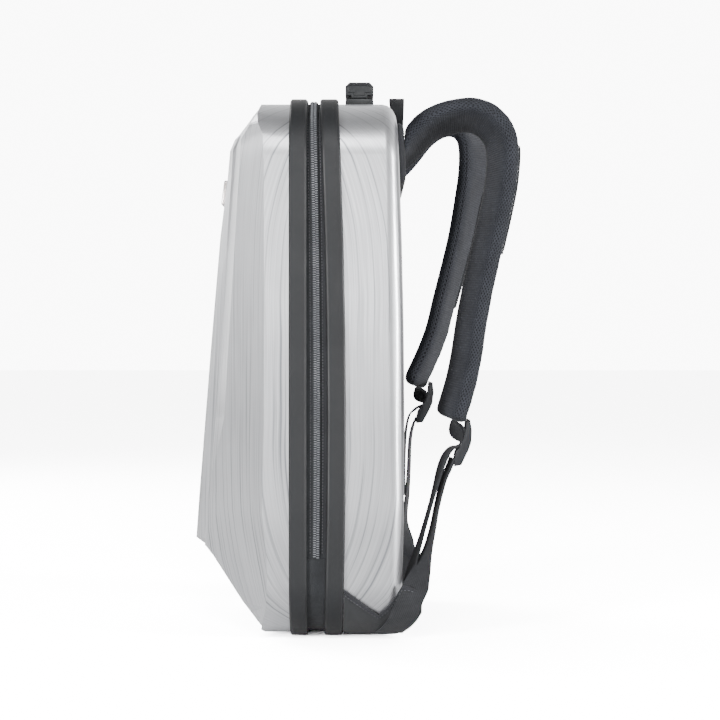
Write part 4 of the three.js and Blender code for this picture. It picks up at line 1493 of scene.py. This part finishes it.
@dataclass
class Wing:
    """The cloth wing round a lower corner of the rear shell."""

    side: Side
    finishes: Finishes
    outline: CaseOutline
    shell_inset: float = 4.6 * MM
    foot_inset: float = 3 * MM
    clear: float = 0.75 * MM
    cloth: float = 1.5 * MM
    seam_depth: float = 41.4 * MM
    tip: float = 106 * MM
    columns: int = 16

    def shell(self) -> CaseOutline:
        """The rear shell's outline."""
        return CaseOutline(
            self.outline.half - self.shell_inset,
            self.outline.top - self.shell_inset,
            self.foot_inset,
            self.outline.radius - self.shell_inset,
        )

    def grid(self, off: float) -> list[list[Vector]]:
        """Points of the cloth at a distance from the shell.

        Args:
            off: the distance.

        Returns:
            Rows from the bumper to the tip, each from the wall to the foot.
        """
        shell = self.shell()
        across, low = shell.corner_foot()
        lean = math.atan(shell.lean_in / shell.lean_height)
        rows = []
        for index in range(len(WING_ROWS) - 1):
            for part in range(4 if index < len(WING_ROWS) - 2 else 5):
                share = part / 4
                first, second = WING_ROWS[index], WING_ROWS[index + 1]
                back = mix(first.back, second.back, share)
                top = mix(first.top, second.top, share)
                end = mix(first.end, second.end, share)
                row = []
                for column in range(self.columns + 1):
                    turn = mix(-lean, -math.pi / 2, mix(top, end, column / self.columns) / 90)
                    reach = shell.radius + off
                    x = across + reach * math.cos(turn)
                    z = low + reach * math.sin(turn)
                    seam = self.seam_depth + self.outline.bow(z)
                    row.append(Vector((self.side.value * x, mix(seam, self.tip, back), z)))
                rows.append(row)
        return rows

    def build(self) -> None:
        """Builds the wing's cloth, its bound edge and its seam."""
        rows = self.grid(self.clear + self.cloth / 2)
        cloth = lofted(f"wing_cloth_{self.side.word}", rows, closed=False, caps=False)
        apply_modifier(cloth, "SOLIDIFY", thickness=self.cloth, offset=0)
        smooth(cloth, 50)
        settle(cloth, self.finishes.wing, "wing", f"strap_wing_{self.side.word}")
        rings = []
        inner = self.grid(self.clear - 0.2 * MM)
        outer = self.grid(self.clear + self.cloth + 0.45 * MM)
        for low, high in zip(inner, outer):
            inward = (high[1] - high[0]).normalized() * 3.4 * MM
            edge = (high[0] - high[1]).normalized() * 0.5 * MM
            rings.append([low[0] + edge, high[0] + edge, high[0] + inward, low[0] + inward])
        bound = lofted(f"wing_binding_{self.side.word}", rings)
        smooth(bound, 40)
        settle(bound, self.finishes.binding, "wing")
        path = [row[0].lerp(row[1], 0.9) for row in self.grid(self.clear + self.cloth + 0.4 * MM)]
        centre = Vector((path[0].x * 0.65, 0, 53 * MM))
        outs = [Vector((spot.x - centre.x, 0, spot.z - centre.z)).normalized() for spot in path]
        seam = stitched(f"wing_seam_{self.side.word}", path, outs)
        settle(seam, self.finishes.thread, "wing")


@dataclass(frozen=True)
class WebStop:
    """One row of a webbing's route, in millimetres, and the way it faces."""

    out: float
    up: float
    across: float
    lie: float
    twist: float


class Web(Enum):
    """The two webs below a buckle."""

    LOAD = "web_load"
    TAIL = "web_tail"


WEB_ROUTES: dict[tuple[Side, Web], tuple[WebStop, ...]] = {
    (Side.RIGHT, Web.LOAD): (
        WebStop(43.2, 155.5, 100, -18, 8),
        WebStop(39.5, 146.5, 100.6, -20, 8),
        WebStop(34.9, 135.4, 101.5, -16, 7),
        WebStop(29, 113.5, 106, -13, 7),
        WebStop(25.8, 97.5, 111, -11, 8),
        WebStop(20, 76, 124, -13, 16),
        WebStop(12.4, 56, 140.5, -14, 48),
    ),
    (Side.RIGHT, Web.TAIL): (
        WebStop(51.2, 167.4, 100, -62, 0),
        WebStop(47.2, 165.6, 100, -62, 0),
        WebStop(42, 164, 100, -45, 4),
        WebStop(36.8, 157.5, 100.5, -30, 9),
        WebStop(32, 145.5, 101, -18, 9),
        WebStop(25.8, 123, 103, -15, 4),
        WebStop(19.6, 101.5, 106, -16, 3),
        WebStop(13.2, 80.5, 112, -17, 6),
        WebStop(7.4, 62, 119, -16, 14),
        WebStop(4.6, 48, 127, -14, 24),
    ),
    (Side.LEFT, Web.LOAD): (
        WebStop(17.1, 185, 95, -16, 2),
        WebStop(13.4, 174, 96, -18, 6),
        WebStop(11.2, 160, 98, -8, 7),
        WebStop(10.4, 136, 104, -2, 8),
        WebStop(9, 108, 112, -2, 10),
        WebStop(6.6, 80, 124, -2, 14),
        WebStop(7.4, 58, 140, 0, 48),
    ),
    (Side.LEFT, Web.TAIL): (
        WebStop(25.6, 197.4, 95, -62, 0),
        WebStop(21, 196, 95, -58, 0),
        WebStop(15.6, 192.5, 95, -46, 0),
        WebStop(10.6, 187, 95, -28, 3),
        WebStop(7.4, 173, 96, -14, 4),
        WebStop(6, 150, 98, -5, 4),
        WebStop(5.6, 128, 101, -2, 4),
        WebStop(5.8, 108, 105, 0, 4),
    ),
}


@dataclass
class LowerStrap:
    """The buckle, the short link above it and the webbing below it."""

    side: Side
    finishes: Finishes
    wing: Wing
    back: float = 91.1 * MM
    width: float = 24 * MM
    thick: float = 1.7 * MM
    laid: tuple[tuple[float, float], ...] = ((14, 97), (25, 93), (38, 89), (52, 83), (62, 78))
    link_turn: float = 28.0

    def web(self, which: Web) -> bpy.types.Object:
        """One web as a smooth band.

        Args:
            which: the load web or its loose tail.

        Returns:
            The piece.
        """
        stops = []
        for stop in WEB_ROUTES[self.side, which]:
            spot = (stop.across * MM, self.back + stop.out * MM, stop.up * MM)
            stops.append(section_at(self.side, spot, stop.lie, stop.twist))
        if which is Web.LOAD:
            stops += [self.on_wing(degrees, depth * MM) for degrees, depth in self.laid]
        half, deep = self.width / 2, self.thick / 2
        rings = []
        for section in sections_through(stops, 7):
            ring = [section.at(half * share, deep) for share in (-0.95, -0.5, 0, 0.5, 0.95)]
            ring.append(section.at(half, 0))
            ring += [section.at(half * share, -deep) for share in (0.95, 0.5, 0, -0.5, -0.95)]
            ring.append(section.at(-half, 0))
            rings.append(ring)
        piece = lofted(f"{which.value}_band_{self.side.word}", rings)
        smooth(piece, 40)
        return settle(piece, self.finishes.webbing, "webbing", f"{which.value}_{self.side.word}")

    def on_wing(self, degrees: float, depth: float) -> Section:
        """A section of the load web where it is sewn on the wing.

        Args:
            degrees: how far below the level it lies round the corner's arc.
            depth: its middle's depth.

        Returns:
            The section.
        """
        shell = self.wing.shell()
        across, low = shell.corner_foot()
        turn = math.radians(-degrees)
        reach = shell.radius + self.wing.clear + self.wing.cloth + 1.3 * MM
        out = Vector((self.side.value * math.cos(turn), 0, math.sin(turn)))
        middle = Vector((self.side.value * across, depth, low)) + out * reach
        return Section(middle, Vector((0, 1, 0)), -out)

    def buckle(self) -> bpy.types.Object:
        """The buckle with its edges rounded."""
        node = f"ladder_lock_{self.side.word}"
        piece = node_copy(node, f"buckle_{self.side.word}", 2.0)
        apply_modifier(
            piece,
            "BEVEL",
            width=0.55 * MM,
            segments=2,
            limit_method="ANGLE",
            angle_limit=math.radians(50),
        )
        smooth(piece, 50)
        return settle(piece, self.finishes.buckle, "lock", node)

    def link(self) -> bpy.types.Object:
        """The short web between the pad and the buckle, folded and turned a little."""
        low, high = (Vector(corner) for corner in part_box(f"web_link_{self.side.word}"))
        start = Vector(((low.x + high.x) / 2, low.y + 0.6 * MM, high.z - 0.4 * MM))
        end = Vector(((low.x + high.x) / 2, high.y - 1.4 * MM, low.z + 1.0 * MM))
        rise = (start - end).normalized()
        flat = rise.cross(Vector((1, 0, 0))).normalized()
        if flat.y < 0:
            flat.negate()
        rings = []
        for step in range(13):
            share = step / 12
            bulge = math.sin(share * math.pi)
            turn = math.radians(self.link_turn) * bulge
            across = Vector((1, 0, 0)) * math.cos(turn) + flat * math.sin(turn)
            section = Section(start.lerp(end, share), across, rise.cross(across).normalized())
            half, deep = self.width / 2 * (1 - 0.04 * bulge), self.thick * mix(0.5, 1.0, bulge)
            points = ((-1, -1), (-1, 1), (-0.5, 1), (0, 1), (0.5, 1), (1, 1), (1, -1), (0, -1))
            rings.append([section.at(over * half, up * deep) for over, up in points])
        piece = lofted(f"link_{self.side.word}", rings)
        smooth(piece, 40)
        return settle(piece, self.finishes.webbing, "webbing", f"web_link_{self.side.word}")

    def build(self) -> None:
        """Builds the buckle and its webs."""
        self.buckle()
        self.link()
        self.web(Web.LOAD)
        self.web(Web.TAIL)


# Back


@dataclass
class BackPadding:
    """The mesh back pad, the yoke above it and the hang loop."""

    finishes: Finishes
    outline: CaseOutline
    half: float = 123.4 * MM
    top: float = 391.4 * MM
    bottom: float = 32.6 * MM
    corner: float = 31.4 * MM
    foot_depth: float = 87.4 * MM
    plane: float = 88.6 * MM
    pillow: float = 2.2 * MM
    crown: float = 2.8 * MM
    channel: float = 2.6 * MM

    def pad(self) -> bpy.types.Object:
        """The back pad, with two upright channels and three sewn across."""
        rounded = CaseOutline(
            self.half, self.top, self.bottom, self.corner, lean_height=1.0, lean_in=0.0
        )
        ring = rounded.right_side(9 * MM)
        right = [(x, z, turn) for x, z, turn in ring]
        left = [(-x, z, math.pi - turn) for x, z, turn in reversed(right[1:-1])]
        stops = right + left
        centre = (self.top + self.bottom) / 2
        levels = ((0.0, 0.0), (0.0, 0.55), (0.006, 0.85), (0.02, 1.0))
        rings = []
        for inset, rise in levels:
            rings.append(
                [
                    Vector(
                        (
                            x - 100 * MM * inset * math.cos(turn),
                            self.surface(x, z, rise),
                            z - 100 * MM * inset * math.sin(turn),
                        )
                    )
                    for x, z, turn in stops
                ]
            )
        for step in range(1, 17):
            share = 1 - step / 16.5
            rings.append(
                [
                    Vector((x * share, 0, centre + (z - centre) * share))
                    for x, z, _ in stops
                ]
            )
        for row in rings[len(levels):]:
            for spot in row:
                spot.y = self.surface(spot.x, spot.z, 1.0) + self.relief(spot.x, spot.z)
        piece = lofted("back_pad_mesh", rings)
        only(piece)
        smooth(piece, 50)
        bpy.ops.object.mode_set(mode="EDIT")
        bpy.ops.mesh.select_all(action="SELECT")
        bpy.ops.uv.cube_project(cube_size=1.0, correct_aspect=False)
        bpy.ops.object.mode_set(mode="OBJECT")
        settle(piece, self.finishes.mesh, "mesh", "back_panel")
        return piece

    def surface(self, x: float, z: float, rise: float) -> float:
        """Depth of the pad's face before its channels."""
        return mix(self.foot_depth, self.plane, rise) + self.outline.bow(z)

    def relief(self, x: float, z: float) -> float:
        """How proud the pad stands at a point, less where it is sewn."""
        edge = max(0.0, min(self.half - abs(x), self.top - z, z - self.bottom)) / (30 * MM)
        swell = self.pillow * (1 - (1 - min(edge, 1.0)) ** 2)
        swell += self.crown * (1 - (x / self.half) ** 2)
        sewn = 0.0
        for line in (-42 * MM, 42 * MM):
            sewn = max(sewn, math.exp(-(((x - line) / (4.5 * MM)) ** 2)))
        for line in (110 * MM, 212 * MM, 314 * MM):
            sewn = max(sewn, 0.8 * math.exp(-(((z - line) / (5 * MM)) ** 2)))
        return swell - self.channel * sewn * min(edge, 1.0)

    def yoke(self) -> bpy.types.Object:
        """The cloth-covered yoke, rounded and softly domed."""
        piece = node_copy("strap_yoke", "yoke_cover")
        apply_modifier(
            piece, "BEVEL", width=1.6 * MM, segments=3, limit_method="ANGLE",
            angle_limit=math.radians(20),
        )
        smooth(piece, 50)
        settle(piece, self.finishes.yoke, "webbing", "strap_yoke")
        return piece

    def loop(self) -> bpy.types.Object:
        """The hang loop as a smooth arch of webbing."""
        piece = node_copy("hang_loop", "hang_loop_web", 0.0)
        apply_modifier(
            piece, "BEVEL", width=0.5 * MM, segments=2, limit_method="ANGLE",
            angle_limit=math.radians(50),
        )
        smooth(piece, 50)
        only(piece)
        bpy.ops.object.mode_set(mode="EDIT")
        bpy.ops.mesh.select_all(action="SELECT")
        bpy.ops.uv.cube_project(cube_size=1.0, correct_aspect=False)
        bpy.ops.object.mode_set(mode="OBJECT")
        return settle(piece, self.finishes.webbing, "webbing", "hang_loop")

    def seams(self) -> None:
        """Stitches round the yoke."""
        box_low, box_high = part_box("strap_yoke")
        rounded = CaseOutline(
            box_high[0] - 7 * MM,
            box_high[2] - 7 * MM,
            box_low[2] + 7 * MM,
            6 * MM,
            lean_height=1.0,
            lean_in=0.0,
        )
        right = rounded.right_side(4 * MM)
        stops = [(x, z) for x, z, _ in right] + [(-x, z) for x, z, _ in reversed(right[:-1])]
        path = [Vector((x, 97.7 * MM + self.outline.bow(z), z)) for x, z in stops]
        seam = stitched("yoke_seam", path, [Vector((0, 1, 0))] * len(path))
        settle(seam, self.finishes.thread, "webbing")

    def build(self) -> None:
        """Builds the back's soft goods."""
        self.pad()
        self.yoke()
        self.loop()
        self.seams()


# Studio


@dataclass(frozen=True)
class Lamp:
    """A soft square light that points at a target."""

    name: str
    place: Point
    target: Point
    size: float
    power: float

    def hang(self) -> None:
        """Adds the light to the scene."""
        data = bpy.data.lights.new(self.name, "AREA")
        data.shape = "SQUARE"
        data.size = self.size
        data.energy = self.power
        lamp = bpy.data.objects.new(self.name, data)
        lamp.location = self.place
        aim = Vector(self.target) - Vector(self.place)
        lamp.rotation_euler = aim.to_track_quat("-Z", "Y").to_euler()
        bpy.context.scene.collection.objects.link(lamp)


@dataclass
class Studio:
    """The floor, the air, the lights and the camera."""

    camera_place: Point = (1.655, 0.053, 0.2415)
    lens: float = 88.6
    floor_half: float = 40.0
    paper: float = 0.85
    seen_paper: float = 12.0
    seen_air: float = 10.0
    lamps: tuple[Lamp, ...] = (
        Lamp("key", (2.0, 0.05, 0.5), (0.15, 0.05, 0.36), 0.4, 4),
        Lamp("hood", (1.75, 0.05, 1.5), (0.25, 0.05, 0.2), 0.7, 18),
        Lamp("crease", (1.9, -1.55, 0.4), (0.15, -0.05, 0.28), 0.6, 75),
        Lamp("fillet", (0.95, 2.2, 0.4), (0.12, 0.08, 0.28), 0.6, 70),
        Lamp("bevels", (-1.4, -1.6, 1.3), (0.0, -0.1, 0.45), 1.0, 22),
    )

    def floor(self) -> None:
        """A pale floor that goes on to the horizon."""
        only_none()
        bpy.ops.mesh.primitive_grid_add(size=self.floor_half * 2)
        floor = bpy.context.object
        floor.name = "studio_floor"
        material = bpy.data.materials.new("studio_paper")
        material.use_nodes = True
        graph = Graph(material.node_tree)
        material.node_tree.nodes.remove(material.node_tree.nodes["Principled BSDF"])
        paper = graph.add("ShaderNodeBsdfDiffuse")
        seen = graph.add("ShaderNodeLightPath").outputs["Is Camera Ray"]
        grey, white = ((value, value, value, 1.0) for value in (self.paper, self.seen_paper))
        graph.feed(paper.inputs["Color"], graph.mixed(seen, grey, white))
        graph.feed(material.node_tree.nodes["Material Output"].inputs["Surface"], paper.outputs[0])
        floor.data.materials.append(material)

    def air(self) -> None:
        """Soft light from all round, brightest behind the bag, and white where it is seen."""
        world = bpy.data.worlds.new("studio_air")
        world.use_nodes = True
        graph = Graph(world.node_tree)
        shade = world.node_tree.nodes["Background"]
        shade.inputs["Color"].default_value = (1.0, 1.0, 1.0, 1.0)
        depth, _, height = graph.split(graph.add("ShaderNodeTexCoord").outputs["Generated"])
        behind = graph.ranged(depth, 0.1, -0.9, 0.0, 1.5)
        above = graph.ranged(height, 0.0, 0.8, 0.78, 0.12)
        lit = graph.math("ADD", behind, above)
        seen = graph.add("ShaderNodeLightPath").outputs["Is Camera Ray"]
        either = graph.add("ShaderNodeMix", data_type="FLOAT")
        for index, value in ((0, seen), (2, lit), (3, self.seen_air)):
            graph.feed(either.inputs[index], value)
        graph.feed(shade.inputs["Strength"], either.outputs[0])
        bpy.context.scene.world = world

    def camera(self) -> None:
        """The camera, level with the bag's middle, as the photograph was taken."""
        data = bpy.data.cameras.new("camera")
        data.lens = self.lens
        data.sensor_width = 36.0
        camera = bpy.data.objects.new("camera", data)
        camera.location = self.camera_place
        camera.rotation_euler = (math.pi / 2, 0, math.pi / 2)
        bpy.context.scene.collection.objects.link(camera)
        bpy.context.scene.camera = camera

    def build(self) -> None:
        """Sets up the studio."""
        self.camera()
        self.floor()
        self.air()
        for lamp in self.lamps:
            lamp.hang()


def main() -> None:
    """Builds every piece in order."""
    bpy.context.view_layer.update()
    finishes = Finishes(Effects())
    outline = CaseOutline()
    builders: list[tuple[str, Callable[[], None]]] = [
        ("studio", Studio().build),
        ("shells", Shells(finishes).build),
        ("zip", Zip(finishes, outline).build),
        ("handle", Handle(finishes).build),
        ("back padding", BackPadding(finishes, outline).build),
    ]
    for side in Side:
        wing = Wing(side, finishes, outline)
        builders += [
            (f"{side.word} shoulder strap", ShoulderStrap(side, finishes).build),
            (f"{side.word} wing", wing.build),
            (f"{side.word} lower strap", LowerStrap(side, finishes, wing).build),
        ]
    for label, build in builders:
        build()
        log.info("built %s", label)


if __name__ == "__main__":
    logging.basicConfig(level=logging.INFO)
    main()
